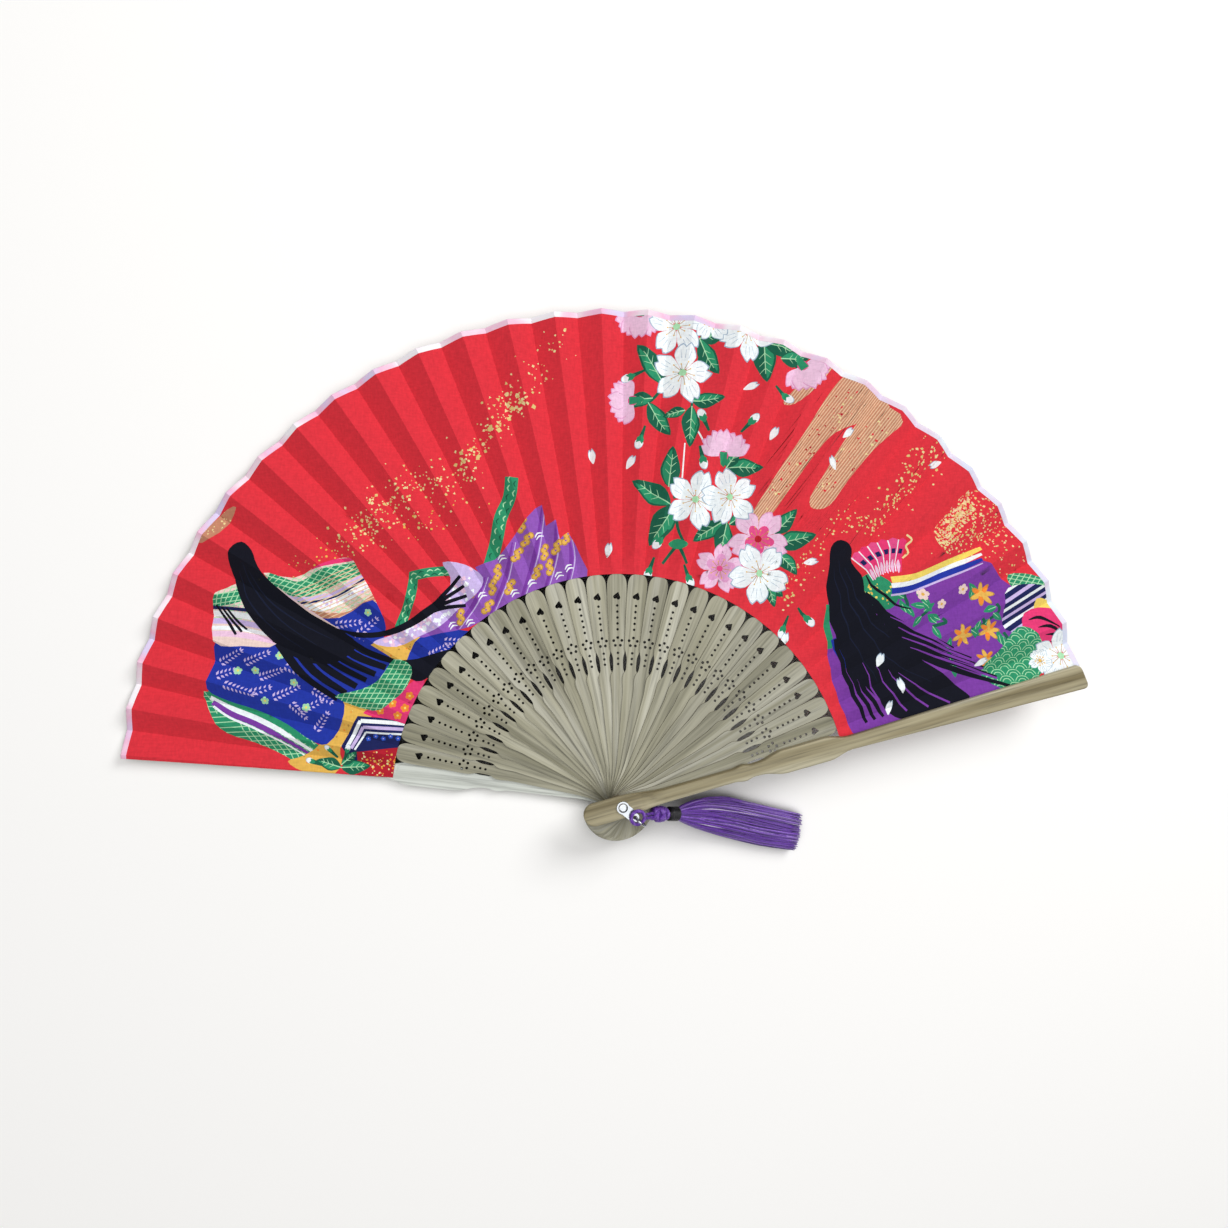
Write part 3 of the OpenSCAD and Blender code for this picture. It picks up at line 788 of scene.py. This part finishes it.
def print_mist():
    blob([(53, 115), (57, 113), (62, 116), (72, 130), (84, 146), (92, 152), (112, 160), (104, 170), (96, 175),
          (88, 168), (76, 150), (64, 133)], "tan", name="mist1")
    blob([(109, 162), (117, 155), (112, 150), (104, 143), (94, 131), (86, 120.5), (80, 119.5), (78.5, 124),
          (84, 133), (92, 146), (100, 156)], "tan", name="mist2")
    blob([(89, 179), (83, 181), (74, 170), (68, 163), (72, 162), (80, 168)], "tan", name="mist3")
    for name, box in (("mist1", (50, 110, 114, 178)), ("mist2", (76, 116, 120, 165)),
                      ("mist3", (66, 160, 92, 183))):
        ruled(*box, 1.0, 52, 0.42, ["sand"], name)
    flecks([(60, 122), (74, 140), (90, 158), (98, 168)], 3, 70, ["wine", "red", "gold"], 0.6, "mist1")
    flecks([(84, 126), (96, 142), (108, 154)], 2.6, 46, ["wine", "red", "gold"], 0.6, "mist2")
    flecks([(132, 143), (122, 135), (112, 121), (104, 111), (95, 117), (80, 100), (72, 90), (68, 82)], 3, 190,
           ["gold", "straw", "straw"], 0.58)
    flecks([(112, 121), (122, 133), (130, 142)], 3.4, 60, GOLDS, 0.65)
    blob([(150, 128), (143, 125), (136, 117), (131, 110), (133, 103), (139, 100), (150, 103), (160, 103),
          (168, 98), (165, 108), (158, 118)], "red", name="cloud")
    flecks([(134, 106), (139, 114), (147, 122)], 3.4, 420, ["gold", "sand", "straw"], 0.58, "cloud")
    flecks([(140, 106), (150, 112), (158, 108)], 6, 260, ["gold", "straw", "red"], 0.5, "cloud")
    flecks([(134, 101), (150, 100), (166, 94)], 3, 50, GOLDS, 0.5)


def print_branch():
    stroke([(27, 146), (26.5, 139), (26, 132)], [0.6, 0.7], "white")
    stroke([(31, 154), (34, 148), (36, 142)], [0.6, 0.7], "white")
    for line in ([(36, 190), (32, 176), (30, 162), (28, 150)], [(52, 192), (60, 186), (68, 180), (78, 176)],
                 [(26, 176), (18, 168), (12, 162), (4, 160)], [(24, 122), (24, 112), (27, 104)],
                 [(48, 122), (54, 114), (62, 105)], [(22, 124), (32, 126)]):
        stroke(line, [1.4, 1.2, 1], "deep")
    for line in (
        (33, 188, 45, 192), (33, 188, 40, 175), (60, 188, 60, 172), (60, 187, 74, 182), (66, 180, 78, 181),
        (19, 170, 9, 184), (14, 164, 3, 162), (12, 162, 20, 150), (30, 163, 42, 164), (27, 159, 19, 157),
        (30, 161, 29, 146), (20, 128, 22, 143), (21, 121, 7, 130), (23, 121, 13, 106), (44, 136, 58, 136),
        (42, 114, 31, 107), (44, 114, 41, 99), (45, 113, 53, 118), (63, 109, 72, 118), (64, 105, 79, 108),
        (65, 102, 72, 93), (44, 136, 49, 143), (56, 92, 66, 84), (60, 90, 63, 80),
    ):
        leaf(*line)
    for place in ((6, 163, 10, 180), (9, 198, 10, 265), (76, 178, 10.5, 300), (43, 141, 10.5, 90)):
        half_blossom(*place)
    blossom(41, 95, 10, 80, "pink", "rose", "blush")
    blossom(57, 107, 12.5, 54, "pink", "blush", "wine")
    for place in ((24, 193, 12, 90), (53, 191, 11.5, 60), (38, 196, 9, 20), (26, 174, 12, 80),
                  (31, 123, 12, 70), (45, 124, 11.5, 30), (57, 93, 12.5, 48)):
        blossom(*place)
    for x, y, turn in ((6, 173, 200), (9, 148, 250), (35, 155.5, 110), (53.5, 154, 45), (34, 140, 280),
                       (68, 166, 320), (12.5, 95, 250), (28, 92, 290), (67, 71, 250), (17, 107, 230),
                       (76, 75, 310)):
        bud(x, y, turn)
    for x in (17.5, 27.5):
        stroke([(24, 105), (x, 97)], [1.4, 1.2], "deep")
    blob([(20, 105), (24, 107.2), (28, 105), (24, 102.8)], "green")
    for x, y, turn in ((51, 168, 20), (62, 147, 60), (91.5, 148, 40), (90, 135, 120), (66, 62.5, 70),
                       (75, 97, 10)):
        petal(x, y, turn)


def print_right_robe():
    blob([(86, 84), (85, 62), (87, 48), (92, 34), (97, 26), (110, 29), (150, 38), (160, 46), (180, 60),
          (186, 74), (178, 88), (166, 86), (158, 92), (150, 98), (134, 92), (117, 88), (100, 84)], "purple",
         name="robe2")
    blob([(99, 91), (108, 92), (115, 84), (112, 78), (100, 80)], "green", name="patch")
    flecks([(101, 86), (108, 86), (113, 82)], 2.2, 34, ["yellow", "mustard"], 0.6, "patch")
    stroke([(85.5, 80), (85, 72), (86, 62)], [2.4, 2.6, 2.2], "green")
    stroke([(87, 66), (91, 58), (94, 54)], [2.4, 3, 2], "blue")
    for x, y in ((118, 84), (126, 80), (134, 74), (124, 88), (146, 88), (156, 80), (136, 62), (160, 68),
                 (150, 74)):
        end_x, end_y = x + rng.uniform(-5, 5), y - rng.uniform(3, 8)
        stroke([(x, y), (x + 1, (y + end_y) / 2), (end_x, end_y)], [1.4, 1.3], "deep", "robe2")
        for t in (0.2, 0.6, 1):
            foot, turn = (mix(x, end_x, t), mix(y, end_y, t)), rng.uniform(0, 360)
            paint(placed(LEAF_OUTLINE, *foot, 5.4, turn), "green", "robe2")
            stroke([foot, *placed([(3.6, 0)], *foot, 1, turn)], [0.3, 0.2], "mint", "robe2")
    narrow = [(u, 0.62 * v) for u, v in PLAIN_PETAL]
    for x, y, r in ((151, 84, 4.6), (142, 67, 4.4), (154, 69, 4.2), (151, 57, 3.8), (163, 78, 3.4)):
        for k in range(7):
            paint(placed(narrow, x, y, r * 1.12, 51.4 * k), "ochre", "robe2")
            paint(placed(narrow, x, y, r, 51.4 * k), "orange" if k % 2 else "mustard", "robe2")
        disc(x, y, r * 0.28, "mustard", "robe2")
    for x, y, r in ((125.5, 84, 2.4), (142, 86, 2.2), (133, 80, 2), (160, 60, 2)):
        little_flower(x, y, r, "shell", "mustard", "robe2")
    collar = [(112, 90), (122, 91.5), (135, 96.5), (144, 100), (151, 103)]
    for drop, width, ink in ((0, 2.6, "yellow"), (2.4, 2, "white"), (4.6, 2.4, "blue"), (6.3, 0.8, "lilac")):
        stroke([(x - 0.1 * drop, y - drop) for x, y in collar], [width, width, width, width * 0.5], ink)
    blob([(163, 92), (172, 92), (178, 88), (172, 84), (164, 86)], "green", name="tip")
    net(160, 82, 180, 94, 1.8, 20, "tip")
    blob([(160, 84), (168, 88), (180, 86), (182, 78), (172, 70), (161, 69)], "navy", name="lined")
    ruled(156, 64, 186, 92, 3.2, 32, 1.3, ["white", "lilac"], "lined")
    blob([(174, 82), (182, 80), (184, 74), (176, 73)], "yellow")
    blob([(170, 76), (180, 78), (190, 72), (186, 60), (174, 58), (168, 66)], "magenta", name="sash")
    for k in range(4):
        fold = [(171 + 3 * k, 73 - 3 * k), (176 + 3 * k, 74 - 3.5 * k), (183 + 2 * k, 70 - 3 * k)]
        stroke(fold, [0.2, 1.6, 0.3], "black", "sash")
    blob([(150, 52), (158, 62), (166, 70), (173, 68), (179, 56), (170, 47), (158, 45)], "green", name="field")
    waves(148, 42, 182, 72, 3.2, "field")
    blossom(185, 58, 12, 20)
    blossom(176, 56, 5, 60, heart="mustard")


def print_right_fan():
    """A small folded paper fan held beside the hair."""
    pivot, inner, outer, blade = (114, 80.5), 13, 26, 9

    def at(r, turn):
        return placed([(r, 0)], *pivot, 1, turn)[0]

    for k in range(6):
        left = 134 - blade * k
        middle, right = left - blade / 2, left - blade
        rim = [at(outer, left), at(outer + 0.9, middle), at(outer, right)]
        paint(rim + [at(inner, right), at(inner, left)], "magenta" if k % 2 else "blush")
        paint(placed([(-1, -0.9), (1, -0.9), (1, 0.9), (-1, 0.9)], *at(21.5, middle), 1, middle), "navy")
        stroke([at(inner, left), at(outer, left)], [0.4, 0.5], "white")
        stroke([at(inner - 0.5, middle), at(inner + 2.5, middle), at(inner + 5, middle)], [0.3, 1.6, 0.4],
               "pink")
    stroke([(118, 108.5), (121, 106.5), (118.5, 104), (120, 101.5), (117.5, 99)], [0.8, 1, 0.7], "gold")


def print_right_hair():
    streaks = [
        [(90, 98), (92, 90), (97, 76), (110, 58), (128, 48)],
        [(88, 95), (90, 84), (95, 66), (106, 48)],
        [(93, 95), (97, 84), (106, 70), (122, 60)],
    ]
    tress("hair2", [(91, 106.5), (95.4, 103), (96, 97), (100, 90), (102, 83), (105, 77), (112, 68),
                    (121, 60), (132, 52), (141, 45), (144, 40.5), (130, 36.5), (117, 33), (111, 35),
                    (104, 43), (97, 51), (90, 62), (85.5, 78), (85.5, 94), (87, 103.5)], streaks)
    for k in range(5):
        start, end = (101 + 2.6 * k, 84 - 4.2 * k), (139 + 6 * k, 61.5 - 4 * k)
        bend = lock(start, end, (0.42, 0.42), (1, 3), [3, 2.6, 1.1])
        if k:
            gap = [(start[0] + 8, start[1] - 5), (bend[0] + 3, bend[1] + 1.6), (end[0] - 6, end[1] + 3.4)]
            stroke(gap, [0.3, 1, 0.9], "purple")
    for k in range(3):
        start, end = (88 + 2.6 * k, 66 - 3 * k), (101 + 3.6 * k, 31.5 + 1.2 * k)
        lock(start, end, (0.4, 0.5), (0, 0), [1.6, 2.2, 1.3])
    for k in range(4):
        start, end = (100 + 5 * k, 56 - 1.4 * k), (109 + 9 * k, 34.5 + 1.6 * k)
        lock(start, end, (0.4, 0.5), (0, 0), [0.2, 0.7, 0.9], "purple")
    stroke([(101, 92), (106, 86), (114, 80), (120, 78)], [0.5, 1.3, 1, 0.4], "black")
    for x, y, turn in ((105, 54, 60), (116, 43, 100), (146, 54, 30), (110, 34, 80), (135, 139, 200)):
        petal(x, y, turn)


for layer in (print_gold, print_left_robe, print_left_shoulders, print_train, print_left_hair, print_mist,
              print_branch, print_right_robe, print_right_fan, print_right_hair):
    layer()


def top_ink(covering):
    names = {shapes[i]["name"] for i in covering}
    for i in sorted(covering, reverse=True):
        if shapes[i]["inside"] is None or shapes[i]["inside"] in names:
            return shapes[i]["ink"]
    return "red"


def panel_mesh(name, angles_at):
    """A panel of the leaf: a triangulation of its outline, its creases and the print on it."""
    lines = len(angles_at(LEAF_IN))
    grid = [[polar(r, a) for a in angles_at(r)] for r in RADII]
    points = [Vector(p) for row in grid for p in row]
    rows = len(RADII)
    edges = [(i * lines + j, (i + 1) * lines + j) for i in range(rows - 1) for j in range(lines)]
    outline = list(range(lines))
    outline += [i * lines + lines - 1 for i in range(1, rows)]
    outline += [(rows - 1) * lines + j for j in range(lines - 2, -1, -1)]
    outline += [i * lines for i in range(rows - 2, 0, -1)]
    faces = [outline]
    ends = [angles_at(r) for r in (LEAF_IN, LEAF_OUT)]
    low, high = min(e[-1] for e in ends), max(e[0] for e in ends)
    owners = [None]
    for index, shape in enumerate(shapes):
        if shape["low"] > high or shape["high"] < low:
            continue
        start = len(points)
        points += [Vector(p) for p in shape["points"]]
        faces.append(list(range(start, len(points))))
        owners.append(index)
    verts, _, tris, _, _, origins = delaunay_2d_cdt(points, edges, faces, 0, 1e-5)
    kept, inks = [], []
    for tri, origin in zip(tris, origins):
        if 0 in origin:
            kept.append(tri)
            inks.append(rgb(INK[top_ink([owners[f] for f in origin if f])]))
    used = sorted({v for tri in kept for v in tri})
    index = {v: i for i, v in enumerate(used)}
    solid, creases = [], []
    for x, y in (verts[v] for v in used):
        r, angle = math.hypot(x, y), math.degrees(math.atan2(y, x))
        solid.append((x * MM, y * MM, leaf_height(r, angle) * MM))
        creases.append(is_crease(angle))
    up = []
    for tri in kept:
        a, b, c = (verts[v] for v in tri)
        up.append(tri if (b - a).cross(c - a) > 0 else tri[::-1])
    mesh = bpy.data.meshes.new(name)
    mesh.from_pydata(solid, [], [[index[v] for v in tri] for tri in up])
    paint_corners(mesh, "ink", inks)
    crisp_edges(mesh, lambda a, b: creases[a] is not None and creases[a] == creases[b])
    return mesh


def crisp_edges(mesh, along_crease):
    """Smooth shading that stops at the mesh's border and at the creases."""
    mesh.shade_smooth()
    faces_on = {}
    for polygon in mesh.polygons:
        for key in polygon.edge_keys:
            faces_on[key] = faces_on.get(key, 0) + 1
    sharp = mesh.attributes.new("sharp_edge", "BOOLEAN", "EDGE")
    for edge in mesh.edges:
        a, b = edge.vertices
        sharp.data[edge.index].value = faces_on.get(edge.key, 0) < 2 or along_crease(a, b)


def paint_corners(mesh, name, colours):
    """Gives every face its own flat colour."""
    layer = mesh.color_attributes.new(name, "FLOAT_COLOR", "CORNER")
    flat = []
    for polygon, colour in zip(mesh.polygons, colours):
        flat += [*colour, 1.0] * polygon.loop_total
    layer.data.foreach_set("color", flat)


def piece(name, mesh, *materials):
    obj = bpy.data.objects.new(name, mesh)
    bpy.context.scene.collection.objects.link(obj)
    for m in materials:
        mesh.materials.append(m)
    return obj


def cross_joint(obj):
    """Bakes a piece's placement into its mesh."""
    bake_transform(obj)


TAPE_T = 0.05
TAPE_W = 2.0
TAPE_OUT = 0.15
TAPE_HALF = CLOTH_T / 2 + 0.03
TAPE_BULGE = ((0.7, 0.06), (0, 0.04))  # how far inside the rim, and how much thicker there
TAPE_STEPS = 3


def tape_section():
    """The tape's section folded over the rim: (radius, height above the cloth's middle)."""
    side = [(LEAF_OUT - TAPE_W, TAPE_HALF)] + [(LEAF_OUT - back, TAPE_HALF + rise) for back,
                                               rise in TAPE_BULGE]
    return side + [(LEAF_OUT + TAPE_OUT, 0)] + [(r, -h) for r, h in reversed(side)]


def tape_mesh(name, angles):
    section = tape_section()
    fine = [mix(a, b, i / TAPE_STEPS) for a, b in zip(angles, angles[1:]) for i in range(TAPE_STEPS)]
    fine.append(angles[-1])
    points, faces, rows = [], [], []
    for angle in fine:
        rows.append([])
        for r, h in section:
            x, y = polar(r, angle)
            z = leaf_height(min(r, LEAF_OUT), angle) + h
            rows[-1].append(len(points))
            points.append((x * MM, y * MM, z * MM))
    for a, b in zip(rows, rows[1:]):
        faces += [(a[i], a[i + 1], b[i + 1], b[i]) for i in range(len(section) - 1)]
    mesh = bpy.data.meshes.new(name)
    mesh.from_pydata(points, [], faces)
    marks = [is_crease(angle) is not None for angle in fine]
    count = len(section)
    crisp_edges(mesh, lambda a, b: a // count == b // count and marks[a // count])
    return mesh


def solid(obj, thickness, back=0):
    mod = obj.modifiers.new("thickness", "SOLIDIFY")
    mod.thickness = thickness * MM
    mod.offset = 0
    mod.material_offset = back
    mod.material_offset_rim = 0


def make_leaf():
    front, back = cloth("leaf_front", False), cloth("leaf_back", True)
    tape = binding_cloth()
    for n in range(LAST):
        name = f"leaf_{n:02d}"
        panel = piece(name, panel_mesh(name, lambda r: lateral_angles(n, r)), front, back)
        solid(panel, CLOTH_T, back=1)
        name = f"binding_{n:02d}"
        edge = piece(name, tape_mesh(name, lateral_angles(n, LEAF_OUT)), tape)
        solid(edge, TAPE_T)
        for obj, slot, node in ((panel, "leaf_cloth", "leaf"), (edge, "binding_tape", "edge_binding")):
            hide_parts(node)
            cross_joint(obj)


# ---- the tassel: cord, knot, wound neck and loose threads


def path_frames(points):
    """Two directions across a path at each of its points, kept from turning about it."""
    frames = []
    side = None
    for i in range(len(points)):
        ahead = (points[min(len(points) - 1, i + 1)] - points[max(0, i - 1)]).normalized()
        if side is None:
            side = ahead.cross(Vector((0, 0, 1)))
            side = side if side.length > 0.1 else Vector((1, 0, 0))
        side = (side - ahead * side.dot(ahead)).normalized()
        frames.append((side, ahead.cross(side)))
    return frames


class Skein:
    """A mesh made of many thin round strands, each with its own tone."""

    def __init__(self):
        self.points, self.faces, self.tones = [], [], []

    def strand(self, path, radius, tone, sides=5, closed=False, taper=False):
        path = [Vector(p) for p in path]
        start = len(self.points)
        for i, (p, (a, b)) in enumerate(zip(path, path_frames(path))):
            r = radius * (0.5 if taper and i == len(path) - 1 else 1)
            for k in range(sides):
                t = 2 * math.pi * k / sides
                self.points.append((p + (a * math.cos(t) + b * math.sin(t)) * r) * MM)
        rings = len(path)
        for i in range(rings if closed else rings - 1):
            for k in range(sides):
                j = (i + 1) % rings
                q = (i * sides + k, i * sides + (k + 1) % sides, j * sides + (k + 1) % sides, j * sides + k)
                self.faces.append([start + v for v in q])
                self.tones.append(tone)
        if not closed:
            self.faces.append([start + k for k in range(sides)][::-1])
            self.faces.append([start + (rings - 1) * sides + k for k in range(sides)])
            self.tones += [tone, tone]

    def cord(self, path, radius, plies=3, pitch=2.6, tone=0.5):
        """A laid cord: plies that wind about a path."""
        path = [Vector(p) for p in path]
        frames = path_frames(path)
        travelled = 0
        lines = [[] for _ in range(plies)]
        for i, (p, (a, b)) in enumerate(zip(path, frames)):
            travelled += (p - path[max(0, i - 1)]).length
            for k, line in enumerate(lines):
                t = 2 * math.pi * (travelled / pitch + k / plies)
                line.append(p + (a * math.cos(t) + b * math.sin(t)) * radius * 0.46)
        for k, line in enumerate(lines):
            self.strand(line, radius * 0.56, clamp(tone + 0.12 * (k - 1)), sides=7)

    def mesh(self, name):
        mesh = bpy.data.meshes.new(name)
        mesh.from_pydata(self.points, [], self.faces)
        paint_corners(mesh, "tone", [(t, t, t) for t in self.tones])
        mesh.shade_smooth()
        return mesh


THREADS = 420
GOLDEN_TURN = 2.399963  # radians, which spreads the threads evenly
CORD_R, STRAND_R, LOOP_R = 0.78, 0.74, 2.75
KNOT_R, KNOT_HALF = 2.6, 4.7
NECK_R, NECK_THREAD_R = 2.68, 0.3
KNOT_AT = Vector((15.2, -4.3, 17.6))
NECK_AT = Vector((19.4, -4.9, 15.4))
NECK_END = Vector((23.7, -5.7, 13.0))
LOOP_AT = Vector((5.75, -3.85, 24.6))
# the skirt's sections: the middle's place, then half the width and half the height
STATIONS = [(23.5, -5.7, 13, 2.6, 2.5), (27, -6.2, 11.1, 4.4, 3.4), (32, -7, 8.9, 6.3, 4.1),
            (38.5, -8.2, 6.5, 7.8, 4.5), (47, -10.2, 4.6, 8.8, 4.4), (60, -13.6, 4, 9, 3.9),
            (77, -17.5, 3.6, 8, 3.5)]


def tassel_piece(skein, name, material, node):
    """Makes a piece of the tassel's strands, in place of a CAD node."""
    body = piece(name, skein.mesh(name), material)
    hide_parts(node)
    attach(body, "tassel")


def directions(start, end):
    """The direction from one place to another, and two directions across it."""
    axis = (end - start).normalized()
    across = axis.cross(Vector((0, 0, 1))).normalized()
    return axis, across, across.cross(axis)


def make_cord(silk):
    """The cord's loop round the jump ring and its two strands to the knot."""
    cord = Skein()
    ring = Matrix.Rotation(math.radians(-40), 4, "Z") @ Matrix.Rotation(math.radians(12), 4, "Y")
    around = [LOOP_AT + ring @ Vector((LOOP_R * math.cos(t), LOOP_R * math.sin(t), 0))
              for t in (2 * math.pi * i / 40 for i in range(41))]
    cord.cord(around, CORD_R)
    for side in (-1, 1):
        strand_from = Vector((8, -3.8 + 0.8 * side, 24.25))
        into = KNOT_AT + Vector((-2.2, 0.8 * side, 1.6))
        cord.cord([strand_from.lerp(into, i / 14) for i in range(15)], STRAND_R, tone=0.3)
    tassel_piece(cord, "cord", silk, "tassel_cord")


def make_knot(silk):
    """A tied ball of cord: turns that lean one way and the other about a core."""
    knot = Skein()
    axis, across, up = directions(KNOT_AT, NECK_AT)
    for turn in range(6):
        lean, offset = (32 if turn % 2 else -32), -2.6 + 1.05 * turn
        girth = math.sqrt(max(0.1, 1 - (offset / 4.6) ** 2)) * 2.65
        loop = []
        for i in range(41):
            t = 2 * math.pi * i / 40
            slant = clamp(offset + math.tan(math.radians(lean)) * girth * math.cos(t + turn) * 0.75, -3.9,
                          3.6)
            reach = math.sqrt(max(0.12, 1 - (slant / KNOT_HALF) ** 2)) * KNOT_R
            loop.append(KNOT_AT + axis * slant + across * reach * math.cos(t) + up * reach * math.sin(t))
        knot.cord(loop, 0.85, tone=0.45 + 0.05 * (turn % 3))
    knot.strand([KNOT_AT + axis * v for v in (-3.4, -1.5, 1.5, 3.6)], 2.1, 0.2, sides=12)
    tassel_piece(knot, "knot", silk, "tassel_knot")


def make_neck(silk):
    """The black thread wound round the skirt's top."""
    neck = Skein()
    length = (NECK_END - NECK_AT).length
    axis, across, up = directions(NECK_AT, NECK_END)
    turns, steps = 9, 22
    wound = []
    for i in range(turns * steps + 1):
        t = 2 * math.pi * i / steps
        v = 0.28 + (length - 0.56) * i / (turns * steps)
        wound.append(NECK_AT + axis * v + (across * math.cos(t) + up * math.sin(t)) * NECK_R)
    neck.strand(wound, NECK_THREAD_R, 0.5, sides=6)
    neck.strand([NECK_AT + axis * v for v in (0.1, length / 2, length - 0.1)], 2.6, 0.15, sides=20)
    tassel_piece(neck, "neck", silk, "neck_band")


def make_skirt(silk):
    """Loose threads about a core, each with its own drift and length."""
    skirt = Skein()
    skirt.strand([(x, y, z) for x, y, z, _, _ in STATIONS[:-1]] + [(74, -16.8, 3.6)], 1.6, 0.1, sides=8)
    for i in range(THREADS):
        layer = 1 - 0.62 * (i / THREADS) ** 1.3
        angle = i * GOLDEN_TURN + rng.uniform(-0.1, 0.1)
        drift = rng.uniform(-0.35, 0.35)
        cut = rng.uniform(-1.4, 0.6)
        line = []
        for k, (x, y, z, half_w, half_h) in enumerate(STATIONS):
            t = k / (len(STATIONS) - 1)
            a = angle + drift * t
            reach = layer * (1 - 0.035 * rng.random()) - 0.3 / half_w
            side = reach * half_w * math.cos(a) + (rng.uniform(-0.35, 0.35) if k > 1 else 0)
            last = k == len(STATIONS) - 1
            px = x + (0.2 * side + cut if last else 0)
            line.append((px, y + side, max(0.32, z + reach * half_h * math.sin(a))))
        tone = clamp(rng.gauss(0.42, 0.17), 0, 0.75)
        # a few outer strands take the palest tone as a painted highlight
        if i % 31 == 7 and layer > 0.8:
            tone = 1.0
        skirt.strand(smooth(line, False, 3), 0.26 if layer > 0.7 else 0.34, tone, sides=4, taper=True)
    tassel_piece(skirt, "skirt", silk, "tassel_skirt")


def make_tassel():
    cord_silk = thread("purple_cord", "#2c1456", "#6a35a8", "#a586d2", 0.2)
    make_cord(cord_silk)
    make_knot(cord_silk)
    make_neck(thread("black_thread", "#08070b", "#16141b", "#3a3644", 0.1))
    make_skirt(thread("purple_thread", "#3c1b70", "#7a44ba", "#dccbf0", 0.28))


# ---- floor, light and camera


FLOOR_HALF = 3.0
FLOOR_Z = -0.00002  # just under the rear rivet cap


def make_stage():
    m, tree, bsdf, _ = new_material("floor", Roughness=0.9, Specular_IOR_Level=0.1)
    # The floor is painted dark where the fan covers it: a painted shadow, near black under the fan and grey
    # at its edges.
    open_sky = add(tree, "ShaderNodeAmbientOcclusion", Distance=0.03).outputs["AO"]
    floor_with_painted_shadow = ramp(tree, open_sky, [(0.1, rgb("#15130f")), (0.55, rgb("#d8d7d4")), (0.8, rgb("#fbfaf8"))])
    coloured(tree, bsdf, floor_with_painted_shadow)
    mesh = bpy.data.meshes.new("floor")
    corners = [(FLOOR_HALF * x, FLOOR_HALF * y, 0) for x, y in ((-1, -1), (1, -1), (1, 1), (-1, 1))]
    mesh.from_pydata(corners, [], [(0, 1, 2, 3)])
    floor = piece("floor", mesh, m)
    floor.location.z = FLOOR_Z
    world = bpy.data.worlds.new("studio")
    world.use_nodes = True
    sky = world.node_tree.nodes["Background"].inputs
    sky["Color"].default_value = (1.0, 1.0, 1.0, 1)
    sky["Strength"].default_value = 0.12
    bpy.context.scene.world = world
    bpy.context.scene.view_settings.view_transform = "Standard"


def softbox(name, place, target, size, power):
    light = bpy.data.lights.new(name, "AREA")
    light.shape = "DISK"
    light.size = size
    light.energy = power
    obj = bpy.data.objects.new(name, light)
    obj.location = place
    obj.rotation_mode = "QUATERNION"
    obj.rotation_quaternion = (Vector(target) - Vector(place)).to_track_quat("-Z", "Y")
    bpy.context.scene.collection.objects.link(obj)


def make_lights():
    middle = (0, 0.09, 0.01)
    softbox("key", (0.75, 0.85, 0.95), middle, 0.7, 11.6)
    softbox("top", (-0.1, 0.1, 1.3), middle, 1.6, 13.8)


def make_camera():
    """The camera looks almost straight down on the leaf, from a little left of its middle."""
    data = bpy.data.cameras.new("camera")
    data.sensor_width = 36
    data.lens = 26.64
    data.clip_start = 0.01
    camera = bpy.data.objects.new("camera", data)
    camera.location = (-0.0374, 0.0875, 0.380)
    camera.rotation_euler = [math.radians(a) for a in (-1.642, -5.488, -0.311)]
    bpy.context.scene.collection.objects.link(camera)
    bpy.context.scene.camera = camera


make_camera()
make_stage()
make_lights()
finish_sticks()
finish_metal()
make_leaf()
make_tassel()
